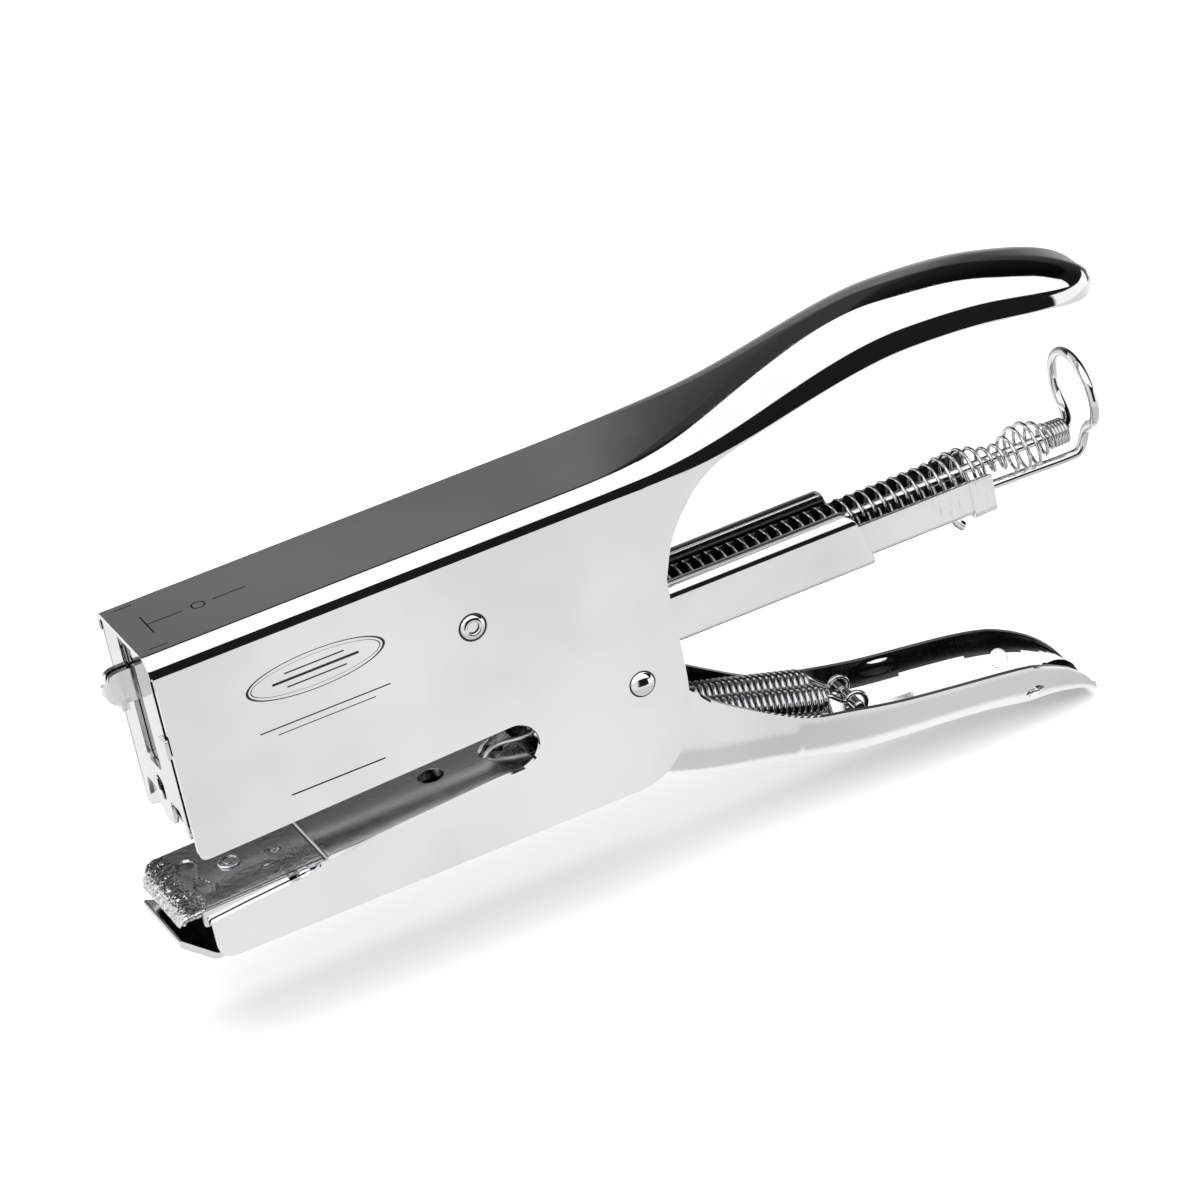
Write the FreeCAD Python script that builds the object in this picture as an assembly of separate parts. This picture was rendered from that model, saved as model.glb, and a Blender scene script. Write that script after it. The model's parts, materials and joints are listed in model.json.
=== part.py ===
import FreeCAD, Part
import os
from math import sin, cos, radians, pi
from FreeCAD import Vector as V

# Plier stapler: sheet-metal body with a fixed upper handle and lower jaw, a squeezed lower
# handle with a forward drive lever, and a swinging magazine with a rear feeder.
# Millimetres. X runs rearwards from the body shell's front, Y across (symmetric about 0), Z up
# from the underside of the lower jaw. On export everything is shifted along X so that the
# origin lies on the underside, mid width, straight below the clinch line.

# ---------------------------------------------------------------- driving dimensions
CLINCH_X = 2.0                 # clinch line
BODY_HALF = 25.0 / 2           # outside half width of the body shell
SHEET = 1.0                    # body sheet
BODY_TOP = 58.5                # flat top of the body
BODY_TOP_R = 2.8               # rounding of the top's long edges
FRONT_X = 0.5                  # front edge of the shell's side walls
THROAT_END_X = 63.4            # rearmost point of the paper throat
THROAT_R = 4.35
THROAT_Z = 16.95               # centre of the throat's round end

PIVOT = (83.6, 19.6)           # main rivet axis (x, z)
RIVET_R = 1.90                 # main rivet shank
RUN = 0.05                     # radial running clearance on the main rivet
HOLLOW_PIN = (56.4, 42.1)      # hollow cross pin axis (x, z)
HOLLOW_PIN_R = 1.95
HOLLOW_PIN_BORE_R = 1.0

JAW_HALF = BODY_HALF - SHEET - 0.05   # plates that fit between the jaw walls
ANVIL_HALF = 10.5
ANVIL_RIVET_X = 8.4
ANVIL_HOLE_R = 1.2

SLEEVE_IN = 6.6                # magazine inner half width, takes a 13 mm wide strip
SLEEVE_T = 0.8
SLEEVE_OUT = SLEEVE_IN + SLEEVE_T
SLEEVE_X0, SLEEVE_X1 = 2.0, 132.4
MAG_Z0 = 21.4                  # underside of the magazine
MAG_Z1 = 32.3                  # top of the magazine lips
FLOOR_Z = MAG_Z0 + SLEEVE_T    # inner floor of the magazine sleeve
LIP_R = 2.2                    # outside radius of the rolled lips
RAIL_HALF = 5.95               # staple rail outer half width
RAIL_T = 0.7
RAIL_Z0 = FLOOR_Z + 0.05
RAIL_Z1 = 28.9
RAIL_X1 = 156.3
RAIL_RIVET_XS = (20.0, 104.0)
RAIL_RIVET_R = 1.0
SLOT_X0 = 148.6                # slot at the rear of the rail for the rod's hooked end
SLOT_HALF = 1.15
SLOT_Z1 = 24.5

ROD_Z = 28.4                   # feeder rod axis
ROD_R = 0.8                    # feeder rod wire
RING_R = 7.0                   # finger ring, to the middle of the wire
RING_X = 177.2
PUSHER_BORE_R = 1.15           # loose hole of the pusher round the rod

HANDLE_HALF = 10.0             # lower handle half width
HANDLE_SHEET = 1.0
LEVER_RIVET = (76.2, 14.8)     # rivets joining handle and lever (x, z)
LEVER_RIVET_R = 1.0
CHEEK_IN, CHEEK_OUT = 7.9, 8.9 # drive lever cheeks across
NOSE_X = -5.3                  # front of the drive lever's nose
NOSE_Z0, NOSE_Z1 = 46.7, 52.8

SPRING_Y = 3.45                # return spring axes either side of the middle
SPRING_R = 2.95                # outside radius of the return springs
SPRING_WIRE_R = 0.45
SPRING_TURNS = 44
SPRING_FRONT = (66.2, 13.2)    # ends of the coils (x, z)
SPRING_REAR = (118.8, -2.1)
HOOK = (124.4, -5.3)           # crossbar of the return spring hook (x, z)

THROUGH = 20.0                 # half length of a cutter across the whole width


# ---------------------------------------------------------------- helpers
def interp(table, x):
    """Monotone piecewise cubic through a table of (x, value), held level past its ends."""
    if x <= table[0][0]:
        return table[0][1]
    if x >= table[-1][0]:
        return table[-1][1]
    slopes = [(b[1] - a[1]) / (b[0] - a[0]) for a, b in zip(table, table[1:])]
    tangents = [slopes[0]]
    for before, after in zip(slopes, slopes[1:]):
        same_sign = before * after > 0
        tangents.append(2 * before * after / (before + after) if same_sign else 0.0)
    tangents.append(slopes[-1])
    for i in range(len(slopes)):
        (xa, va), (xb, vb) = table[i], table[i + 1]
        if x <= xb:
            span = xb - xa
            t = (x - xa) / span
            return ((2 * t ** 3 - 3 * t * t + 1) * va
                    + (t ** 3 - 2 * t * t + t) * span * tangents[i]
                    + (-2 * t ** 3 + 3 * t * t) * vb
                    + (t ** 3 - t * t) * span * tangents[i + 1])


def closed_polygon(corners):
    return Part.makePolygon(corners + [corners[0]])


def prism(corners, along):
    return Part.Face(closed_polygon(corners)).extrude(along)


def prism_xz(points, y0, y1):
    return prism([V(x, y0, z) for x, z in points], V(0, y1 - y0, 0))


def prism_xy(points, z0, z1):
    return prism([V(x, y, z0) for x, y in points], V(0, 0, z1 - z0))


def prism_yz(points, x0, x1):
    return prism([V(x0, y, z) for y, z in points], V(x1 - x0, 0, 0))


def box(x0, x1, y0, y1, z0, z1):
    return Part.makeBox(x1 - x0, y1 - y0, z1 - z0, V(x0, y0, z0))


def cyl_x(y, z, r, x0, x1):
    return Part.makeCylinder(r, x1 - x0, V(x0, y, z), V(1, 0, 0))


def cyl_y(x, z, r, y0, y1):
    return Part.makeCylinder(r, y1 - y0, V(x, y0, z), V(0, 1, 0))


def cyl_z(x, y, r, z0, z1):
    return Part.makeCylinder(r, z1 - z0, V(x, y, z0), V(0, 0, 1))


def bore_y(axis, r):
    """Cutter across the whole width on an (x, z) axis."""
    return cyl_y(*axis, r, -THROUGH, THROUGH)


def loft(sections):
    """Ruled loft through closed polygons with equal point counts."""
    wires = [closed_polygon([V(*p) for p in section]) for section in sections]
    solid = Part.makeLoft(wires, True, True)
    if solid.Volume < 0:
        solid.reverse()
    return solid


def arc(cx, cz, r, start, end, steps):
    """Points on an arc, angles in degrees."""
    angles = [radians(start + (end - start) * i / steps) for i in range(steps + 1)]
    return [(cx + r * cos(a), cz + r * sin(a)) for a in angles]


def mirrored(shape):
    """The same shape on the other side of the middle plane."""
    return shape.mirror(V(0, 0, 0), V(0, 1, 0))


def both_sides(shape):
    return Part.makeCompound([shape, mirrored(shape)])


def cut_both(shape, tool):
    return shape.cut(tool).cut(mirrored(tool))


def fuse(first, *rest):
    shape = first
    for other in rest:
        shape = shape.fuse(other)
    return shape.removeSplitter()


def one(shape):
    """The single solid of a boolean result."""
    if shape.ShapeType == "Compound" and len(shape.Solids) == 1:
        return shape.Solids[0]
    return shape


def largest(shape):
    return max(shape.Solids, key=lambda solid: solid.Volume)


def fillet_long_edges(shape, y, z, r):
    """Round the lengthwise edges at height z, y either side of the middle."""
    edges = []
    for edge in shape.Edges:
        middle = edge.CenterOfMass
        if abs(abs(middle.y) - y) < 0.01 and abs(middle.z - z) < 0.01:
            edges.append(edge)
    return shape.makeFillet(r, edges)


# ---------------------------------------------------------------- body shell with upper handle
# (x, z) of the top line
TOP = [(0, BODY_TOP), (84, BODY_TOP), (95, 59.4), (104, 60.8), (113, 62.8), (123, 65.4),
       (133, 67.8), (143, 69.0), (152, 68.6), (161, 67.6), (170, 65.2), (176, 62.9),
       (180, 60.6), (182, 58.9), (183.2, 57.2)]
# (x, z) of the upper handle's lower edge
UNDER = [(92.0, 36.8), (94.1, 42.8), (96.6, 46.7), (100.9, 51.3), (104, 53.2),
         (108.5, 54.5), (113.4, 55.2), (123.5, 57.0), (133.5, 58.8), (143.4, 59.7),
         (153.1, 59.4), (162.6, 58.2), (170, 57.0), (176, 55.7), (180, 54.9), (183.6, 54.8)]
# (x, outside half width)
BODY_WIDTH = [(0, BODY_HALF), (92, BODY_HALF), (98, 12.2), (104, 11.5), (113, 10.5),
              (123, 9.8), (133, 9.5), (150, 9.5), (165, 9.4), (172, 9.0), (176, 8.3),
              (179, 7.2), (181.2, 5.6), (182.5, 3.9), (183.2, 2.2)]
# (x, rounding of the top's long edges)
TOP_ROUNDING = [(0, BODY_TOP_R), (84, BODY_TOP_R), (95, 4.0), (104, 6.0), (113, 7.3),
                (123, 8.2), (133, 8.9), (143, 9.0), (165, 8.6), (172, 7.6), (176, 6.4),
                (183.2, 1.6)]
# loft stations shared by the outer and inner envelopes
BODY_STATIONS = ([84, 88, 92, 95, 98, 101, 104] + [104 + 3.0 * i for i in range(1, 22)]
                 + [169, 171, 173, 175, 177, 178.5, 180, 181.2])
# (x, z) of the side wall's lower outline: above the throat, then round the jaw
THROAT_ROOF = [(FRONT_X, 19.9), (1.6, 19.3), (57.5, 21.25)]
JAW_SIDE = [(54.8, 12.55), (35.6, 11.25), (20.6, 10.1), (19.4, 9.3), (6.8, 8.25),
            (-0.5, 7.4), (-0.5, 2.2), (0.1, 0.8), (1.6, 0.0), (78.6, 0.0), (82.0, 0.35),
            (84.8, 1.5), (86.8, 3.3), (88.5, 5.6), (90.2, 8.8), (91.3, 12.4),
            (91.8, 16.5), (91.9, 23.0), (91.7, 31.0)]


def body_section(x, inset, extra_depth):
    """Arch section at x, set in from the outside, its legs run on below the outline."""
    low = (-1.0 if x <= 104 else interp(UNDER, x) - 6.0) - extra_depth
    half = interp(BODY_WIDTH, x) - inset
    top = interp(TOP, x) - inset
    r = min(interp(TOP_ROUNDING, x), interp(BODY_WIDTH, x) - 0.4) - inset * 0.999
    r = max(0.35, min(r, half - 0.15))
    low = min(low, top - r - 0.3)
    angles = [radians(a) for a in range(0, 91, 15)]
    points = [(-half, low)]
    points += [(-half + r - r * cos(a), top - r + r * sin(a)) for a in angles]
    points += [(half - r + r * sin(a), top - r + r * cos(a)) for a in angles]
    points += [(half, low)]
    return [(x, y, z) for y, z in points]


def body_shell():
    outer_xs = [FRONT_X - 0.5] + BODY_STATIONS + [182.2, 182.8, 183.2]
    inner_xs = [FRONT_X - 2.0] + BODY_STATIONS + [181.9]
    outer = loft([body_section(x, 0.0, 0) for x in outer_xs])
    inner = loft([body_section(x, SHEET, 3) for x in inner_xs])
    throat_end = arc(THROAT_END_X - THROAT_R, THROAT_Z, THROAT_R, 95, -85, 14)
    side = THROAT_ROOF + throat_end + JAW_SIDE + UNDER
    side += [(184.5, 54.8), (184.5, 72), (FRONT_X, 72)]
    shell = outer.common(prism_xz(side, -BODY_HALF - 1, BODY_HALF + 1)).cut(inner)
    shell = shell.cut(bore_y(PIVOT, RIVET_R)).cut(bore_y(HOLLOW_PIN, HOLLOW_PIN_R))
    return one(shell)


# ---------------------------------------------------------------- lower jaw
def jaw_base_plate():
    """Flat underside with the front end curled up."""
    side = [(72, 0), (0.8, 0), (-1.6, 0.35), (-3.4, 1.15), (-4.8, 2.35), (-5.7, 3.6),
            (-4.9, 4.25), (-4.0, 3.1), (-2.8, 2.1), (-1.3, 1.45), (0.6, 1.2), (72, 1.2)]
    half_plan = [(73, -JAW_HALF), (-0.4, -JAW_HALF), (-3.4, -10.4), (-6.5, -8.0)]
    plan = half_plan + [(x, -y) for x, y in reversed(half_plan)]
    return one(prism_xz(side, -JAW_HALF, JAW_HALF).common(prism_xy(plan, -1, 6)))


def jaw_top_plate():
    """Runs under the anvil, steps up behind it, with side flanges and two open holes."""
    side = [(-0.8, 7.3), (63.0, 10.0), (63.0, 11.5), (22.4, 10.65), (21.7, 9.25),
            (-0.8, 8.45)]
    plate = prism_xz(side, -JAW_HALF, JAW_HALF)
    flange = prism_xz([(26, 8.9), (62, 10.4), (62, 4.0), (26, 4.0)],
                      -JAW_HALF, -JAW_HALF + 1.0)
    plate = fuse(plate, flange, mirrored(flange))
    for x, r in ((46.7, 2.35), (58.1, 2.3), (ANVIL_RIVET_X, ANVIL_HOLE_R)):
        plate = plate.cut(cyl_z(x, 0, r, 0, 20))
    # relieved for the anvil's skirts, and nothing left outside them
    slot = box(-3.0, 18.0, -ANVIL_HALF - 0.1, -ANVIL_HALF + 1.0, 5.0, 12.0)
    margin = box(-3.0, 18.0, -THROUGH, -ANVIL_HALF - 0.05, 5.0, 12.0)
    return one(cut_both(cut_both(one(plate), slot), margin))


def anvil():
    """Curled front lip, short side skirts, two clinch pockets."""
    side = [(21.4, 10.55), (8, 10.1), (-1.2, 9.8), (-2.6, 9.55), (-3.8, 8.95),
            (-4.7, 8.05), (-5.2, 6.9),
            (-4.15, 6.7), (-3.8, 7.5), (-3.1, 8.15), (-2.2, 8.5), (-1.0, 8.65),
            (8, 8.95), (21.4, 9.4)]
    plate = prism_xz(side, -ANVIL_HALF, ANVIL_HALF)
    skirt = prism_xz([(-1.6, 9.2), (17.5, 9.9), (17.5, 7.0), (-0.2, 6.1), (-1.6, 6.4)],
                     -ANVIL_HALF, -ANVIL_HALF + 0.9)
    plate = plate.fuse(skirt).fuse(mirrored(skirt))
    pocket_y, pocket_z, pocket_r, pocket_half = 3.45, 15.35, 6.3, 0.95
    for side_sign in (-1, 1):
        plate = plate.cut(cyl_x(side_sign * pocket_y, pocket_z, pocket_r,
                                CLINCH_X - pocket_half, CLINCH_X + pocket_half))
    return one(plate.cut(cyl_z(ANVIL_RIVET_X, 0, ANVIL_HOLE_R, 0, 20)).removeSplitter())


def anvil_rivet():
    """Shank, upper head with a ring groove, and lower head."""
    head_top = 10.64
    rivet = cyl_z(ANVIL_RIVET_X, 0, ANVIL_HOLE_R - 0.01, 6.2, 10.2)
    rivet = rivet.fuse(cyl_z(ANVIL_RIVET_X, 0, 2.1, 10.19, head_top))
    rivet = rivet.fuse(cyl_z(ANVIL_RIVET_X, 0, 2.0, 6.0, 7.55))
    rivet = rivet.cut(Part.makeTorus(1.35, 0.25, V(ANVIL_RIVET_X, 0, head_top)))
    return one(rivet.removeSplitter())


# ---------------------------------------------------------------- rivets and pins in the shell
def domed_head(axis, y, side_sign, r, height):
    """Spherical cap of base radius r standing outwards from y."""
    x, z = axis
    ball_r = (r * r + height * height) / (2 * height)
    ball = Part.makeSphere(ball_r, V(x, y + side_sign * (height - ball_r), z))
    reach = y + side_sign * (height + 1)
    return ball.common(cyl_y(x, z, r + 1, min(y, reach), max(y, reach)))


def main_rivet():
    rivet = cyl_y(*PIVOT, RIVET_R, -BODY_HALF, BODY_HALF)
    for side_sign in (-1, 1):
        rivet = rivet.fuse(domed_head(PIVOT, side_sign * BODY_HALF, side_sign, 2.2, 1.15))
    return one(rivet.removeSplitter())


def pivot_spacers():
    """Rings on the main rivet between the lower handle and the shell."""
    ring = cyl_y(*PIVOT, 3.6, HANDLE_HALF + 0.06, BODY_HALF - SHEET - 0.03)
    return both_sides(ring.cut(cyl_y(*PIVOT, RIVET_R + 0.03, 0, THROUGH)))


def hollow_pin():
    """Cross pin with flared ends and a through bore."""
    x, z = HOLLOW_PIN
    pin = cyl_y(x, z, HOLLOW_PIN_R, -BODY_HALF - 0.1, BODY_HALF + 0.1)
    for side_sign in (-1, 1):
        base = V(x, side_sign * BODY_HALF, z)
        pin = pin.fuse(Part.makeCone(HOLLOW_PIN_R, 2.25, 0.3, base, V(0, side_sign, 0)))
    return pin.cut(bore_y(HOLLOW_PIN, HOLLOW_PIN_BORE_R)).removeSplitter()


def magazine_press_spring():
    """Torsion spring on the hollow pin, its coils a plain sleeve, one arm up, one down."""
    x = HOLLOW_PIN[0]
    coil_r = HOLLOW_PIN_R + 0.75
    half = 4.0
    coils = cyl_y(*HOLLOW_PIN, coil_r + 0.55, -half, half)
    coils = coils.cut(bore_y(HOLLOW_PIN, coil_r - 0.55))
    roof_arm = prism_xz([(x + coil_r - 0.5, 42.6), (x + coil_r + 0.5, 42.6), (62.6, 49.2),
                         (68.6, 56.0), (67.7, 56.6), (61.7, 49.9)],
                        -half + 0.1, -half + 1.1)
    magazine_arm = prism_xz([(x - coil_r + 0.5, 42.1), (x - coil_r - 0.5, 42.1),
                             (49.8, 35.2), (38.2, 33.5), (33.0, 33.5), (33.0, 32.5),
                             (38.6, 32.5), (50.4, 34.3)],
                            half - 1.1, half - 0.1)
    foot = box(33.0, 36.0, half - 1.1, 7.2, 32.45, 33.4)
    return one(fuse(coils, roof_arm, magazine_arm, foot))


# ---------------------------------------------------------------- lower handle
# (x, z) of the rim, rising to the pivot ears at the front
RIM = [(70.5, 14.0), (73, 18.5), (77, 24.4), (80, 26.0), (87.2, 26.0), (89.6, 23.0),
       (90.6, 19.0), (91.4, 15.4), (94, 11.4), (98, 8.3), (103, 5.0), (107, 2.4),
       (111, 0.0), (115.5, -1.9), (120, -3.1), (130, -5.3), (140, -6.7), (149, -7.9),
       (156, -9.2), (160, -10.5), (163, -12.1), (165.5, -14.2), (167.5, -16.6),
       (169.0, -19.4)]
# (x, z) of the outside bottom
BOTTOM = [(70.5, 12.0), (73.0, 7.2), (76, 3.2), (80, -0.6), (86.5, -3.6), (92.8, -5.8),
          (101.9, -8.4), (111.3, -10.8), (120.7, -13.0), (130.4, -14.3), (140.2, -15.1),
          (150, -16.3), (156, -17.6), (160, -18.7), (163, -19.5), (166, -20.3),
          (169.0, -21.2)]
# (x, outside half width)
HANDLE_WIDTH = [(70, HANDLE_HALF), (140, HANDLE_HALF), (150, 9.8), (156, 9.3), (160, 8.8),
                (164, 7.9), (167, 6.9), (169.0, 5.6)]
# (x, superellipse exponent of the section)
SQUARENESS = [(70, 3.2), (92, 3.0), (111, 2.7), (130, 2.5), (160, 2.3), (169.0, 2.1)]
HANDLE_STATIONS = [70.5, 73, 76, 80, 84, 88, 92, 96, 100, 104, 108, 112, 116, 120, 125, 130,
                   135, 140, 145, 150, 154, 157, 160, 162.5, 165, 167, 168.2, 169.0]
# x at which the rim line is sampled for the side outline
RIM_STATIONS = [70.5, 73, 75, 77, 78.5, 80, 82, 83.6, 85.5, 87.2, 88.6, 89.6, 90.6, 91.4,
                94, 98, 103, 107, 111, 115.5, 120, 125, 130, 135, 140, 145, 149, 153, 156,
                158, 160, 161.5, 163, 164.3, 165.5, 166.5, 167.5, 168.4, 169.0]


def trough_section(x, inset, lift):
    """U section, open side up: superellipse below, straight wall to lift above the rim."""
    half = interp(HANDLE_WIDTH, x) - inset
    rim = interp(RIM, x)
    bottom = interp(BOTTOM, x) + inset
    shoulder = min(rim, bottom + 9.0) if x < 111 else rim
    depth = max(shoulder - bottom, 0.25)
    power = 2.0 / interp(SQUARENESS, x)
    points = [(-half, rim + lift)]
    for i in range(21):
        across, down = -cos(pi * i / 20.0), sin(pi * i / 20.0)
        side_sign = 1 if across > 0 else -1
        points.append((half * (abs(across) ** power) * side_sign,
                       shoulder - depth * (abs(down) ** power)))
    points.append((half, rim + lift))
    return [(x, y, z) for y, z in points]


def handle_trough():
    """Trough with its pivot ears and holes, before the front edge is scalloped."""
    outer = loft([trough_section(x, 0, 14.0) for x in HANDLE_STATIONS])
    inner_xs = [69.0] + HANDLE_STATIONS[:-1] + [169.6]
    inner = loft([trough_section(x, HANDLE_SHEET, 16.0) for x in inner_xs])
    side = [(70.5, 10.0)] + [(x, interp(RIM, x)) for x in RIM_STATIONS]
    side += [(169.5, -30), (70.5, -30)]
    trough = outer.common(prism_xz(side, -THROUGH, THROUGH)).cut(inner)
    trough = trough.cut(bore_y(PIVOT, RIVET_R + RUN))
    trough = trough.cut(bore_y(LEVER_RIVET, LEVER_RIVET_R))
    # two round holes low in the flanks near the rear end
    tilt = radians(40)
    for side_sign in (-1, 1):
        trough = trough.cut(Part.makeCylinder(1.75, 8, V(156.5, side_sign * 4.2, -11.0),
                                              V(0, side_sign * sin(tilt), -cos(tilt))))
    return one(trough)


def scallop_for_springs(trough):
    """Clear the front edge where the two return springs pass over it."""
    for side_sign in (-1, 1):
        front, rear = spring_ends(side_sign)
        along = (rear - front).normalize()
        trough = trough.cut(Part.makeCylinder(SPRING_R + 0.2, 18.0, front - along, along))
    return largest(trough.removeSplitter())


# ---------------------------------------------------------------- drive lever
# (x, z) of a cheek
CHEEK = [(89.8, 19.6), (88.6, 26.0), (84.0, 40.0), (80.0, 50.5), (74.0, 56.6),
         (28.0, 56.6), (20.0, 55.0), (20.0, 48.4), (45.0, 50.6), (64.0, 50.8),
         (71.0, 45.0), (76.6, 27.0), (74.6, 20.0), (73.4, 15.5), (74.4, 12.6),
         (77.5, 12.2), (81.0, 13.9), (85.5, 13.6), (88.6, 15.9)]
NOSE_TIP_R = 1.45              # outside of the bend, seen from above
NOSE_TIP_IN_R = 0.42


def nose_plan(half, shoulder_x, neck_x, tip_r):
    """Plan outline from the cheeks forward round the tip."""
    tip_x = NOSE_X + NOSE_TIP_R
    flank = [(20.0, half), (shoulder_x, half), (neck_x, tip_r), (tip_x, tip_r)]
    tip = [(tip_x - tip_r * sin(radians(a)), tip_r * cos(radians(a)))
           for a in range(15, 180, 15)]
    return flank + tip + [(x, -y) for x, y in reversed(flank)]


def drive_lever():
    """Two cheeks joined by the bent nose."""
    cheek = prism_xz(CHEEK, CHEEK_IN, CHEEK_OUT)
    hollow = nose_plan(CHEEK_IN, 18.0, 7.0, NOSE_TIP_IN_R)
    hollow = [(20.5, CHEEK_IN)] + hollow + [(20.5, -CHEEK_IN)]
    nose = prism_xy(nose_plan(CHEEK_OUT, 17.5, 6.5, NOSE_TIP_R), 46.0, 56.0)
    nose = nose.cut(prism_xy(hollow, 45.0, 57.0))
    top_r, bottom_r = 2.9, 3.1
    side = [(20.0, 55.0), (6.0, 52.9), (-2.2, NOSE_Z1)]
    side += arc(NOSE_X + top_r, NOSE_Z1 - top_r, top_r, 90, 180, 6)
    side += arc(NOSE_X + bottom_r, NOSE_Z0 + bottom_r, bottom_r, 180, 270, 6)
    side += [(6.0, 46.9), (20.0, 48.4)]
    nose = nose.common(prism_xz(side, -THROUGH, THROUGH))
    lever = fuse(nose, cheek, mirrored(cheek))
    lever = lever.cut(bore_y(PIVOT, RIVET_R + RUN))
    return one(lever.cut(bore_y(LEVER_RIVET, LEVER_RIVET_R)))


def lever_rivets():
    shank = cyl_y(*LEVER_RIVET, LEVER_RIVET_R, CHEEK_IN, HANDLE_HALF)
    return both_sides(shank.fuse(cyl_y(*LEVER_RIVET, 1.9, HANDLE_HALF, HANDLE_HALF + 0.8)))


# ---------------------------------------------------------------- magazine
def cut_rail_rivet_holes(shape):
    for x in RAIL_RIVET_XS:
        shape = shape.cut(cyl_z(x, 0, RAIL_RIVET_R, 20, 24))
    return shape


def magazine_sleeve():
    """U section with inward rolled lips, slanted rear end, and ears on the main rivet."""
    lip_y, lip_z = SLEEVE_OUT - LIP_R, MAG_Z1 - LIP_R
    right = [(SLEEVE_OUT, MAG_Z0 + 0.9)]
    right += arc(lip_y, lip_z, LIP_R, 0, 110, 9)
    right += arc(lip_y, lip_z, LIP_R - SLEEVE_T, 110, 0, 9)
    right += [(SLEEVE_IN, FLOOR_Z)]
    section = right + [(-y, z) for y, z in reversed(right)]
    section += [(-SLEEVE_OUT + 0.26, MAG_Z0 + 0.26), (-SLEEVE_OUT + 0.9, MAG_Z0),
                (SLEEVE_OUT - 0.9, MAG_Z0), (SLEEVE_OUT - 0.26, MAG_Z0 + 0.26)]
    sleeve = prism_yz(section, SLEEVE_X0, SLEEVE_X1)
    rear = [(128.6, 33.5), (129.6, 31.0), (132.2, 24.4), (131.8, 21.0), (140, 21.0),
            (140, 33.5)]
    sleeve = sleeve.cut(prism_xz(rear, -THROUGH, THROUGH))
    # (half length about the pivot, z)
    ear_front = [(9.1, MAG_Z0 + 1.4), (6.0, 17.0), (4.2, 15.4)]
    ear_side = [(PIVOT[0] - dx, z) for dx, z in ear_front]
    ear_side += [(PIVOT[0] + dx, z) for dx, z in reversed(ear_front)]
    ear = prism_xz(ear_side, SLEEVE_IN, SLEEVE_OUT)
    sleeve = fuse(sleeve, ear, mirrored(ear))
    sleeve = sleeve.cut(bore_y(PIVOT, RIVET_R + RUN))
    return one(cut_rail_rivet_holes(sleeve))


def staple_rail():
    """U channel, open side up, slotted at the rear."""
    rail = box(SLEEVE_X0 + 0.6, RAIL_X1, -RAIL_HALF, RAIL_HALF, RAIL_Z0, RAIL_Z1)
    inner = RAIL_HALF - RAIL_T
    rail = rail.cut(box(0, 200, -inner, inner, RAIL_Z0 + RAIL_T, 40))
    rail = fillet_long_edges(rail, RAIL_HALF, RAIL_Z0, 0.6)
    rail = rail.cut(box(SLOT_X0, 170, -SLOT_HALF, SLOT_HALF, 20, SLOT_Z1))
    return one(cut_rail_rivet_holes(rail))


def rail_end_cap():
    """U cap round the rear end of the rail, with a tongue forward below it."""
    outer, inner = RAIL_HALF + 0.75, RAIL_HALF + 0.02
    z_outer, z_inner = MAG_Z0 - 0.2, FLOOR_Z + 0.03
    cap = box(152.3, 156.5, -outer, outer, z_outer, RAIL_Z1 + 0.1)
    cap = fillet_long_edges(cap, outer, z_outer, 1.2)
    hollow = box(150, 160, -inner, inner, z_inner, 40)
    tongue = box(143.0, 153.0, -3.6, 3.6, z_outer, FLOOR_Z)
    cap = cap.cut(fillet_long_edges(hollow, inner, z_inner, 0.55)).fuse(tongue)
    cap = cap.cut(box(SLOT_X0, 160, -SLOT_HALF, SLOT_HALF, 18, SLOT_Z1))
    return one(cap.removeSplitter())


def rail_rivets():
    """Two rivets through the sleeve floor and rail floor."""
    head_r = 1.6
    top = FLOOR_Z + RAIL_T
    rivets = []
    for x in RAIL_RIVET_XS:
        rivet = cyl_z(x, 0, RAIL_RIVET_R, MAG_Z0, top + 0.1)
        rivet = rivet.fuse(cyl_z(x, 0, head_r, top + 0.05, top + 0.45))
        rivet = rivet.fuse(cyl_z(x, 0, head_r, MAG_Z0 - 0.35, MAG_Z0))
        rivets.append(one(rivet.removeSplitter()))
    return Part.makeCompound(rivets)


def front_guide():
    """Slotted plate ahead of the driver, with tongue, window and rearward wings."""
    x0, x1 = 0.3, 1.2
    # (y, z) of one half, from the tongue's tip out and up, then down the slot
    half = [(1.0, 21.8), (2.2, 22.3), (3.0, 23.6), (3.2, 26.4), (3.6, 27.4), (7.9, 27.4),
            (8.9, 22.8), (10.5, 22.8), (10.5, 55.0), (3.35, 55.0), (3.35, 33.6),
            (2.75, 33.2)]
    plate = prism_yz(half + [(-y, z) for y, z in reversed(half)], x0, x1)
    wing = prism_xz([(x0, 22.8), (7.5, 24.5), (9.0, 27.0), (9.0, 44.0), (7.5, 46.0),
                     (5.5, 47.0), (5.5, 53.0), (3.5, 55.0), (x0, 55.0)], 9.6, 10.5)
    foot = prism_xz([(3.2, 24.5), (9.0, 24.5), (9.0, 30.0), (3.2, 30.0)],
                    SLEEVE_OUT + 0.03, 9.7)
    step = box(x0 - 0.7, x0 + 0.05, 9.2, 12.35, 39.5, 43.2)
    guide = fuse(plate, wing, mirrored(wing), foot, mirrored(foot), step, mirrored(step))
    # upright window with round ends
    window_r, window_z0, window_z1 = 1.7, 27.9, 29.3
    for z in (window_z0, window_z1):
        guide = guide.cut(cyl_x(0, z, window_r, -1, 2))
    return one(guide.cut(box(-1, 2, -window_r, window_r, window_z0, window_z1)))


def driver_blade():
    return one(box(1.3, 1.85, -6.1, 6.1, 29.7, 54.6).cut(box(0, 3, -1.75, 1.75, 45.6, 53.6)))


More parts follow.
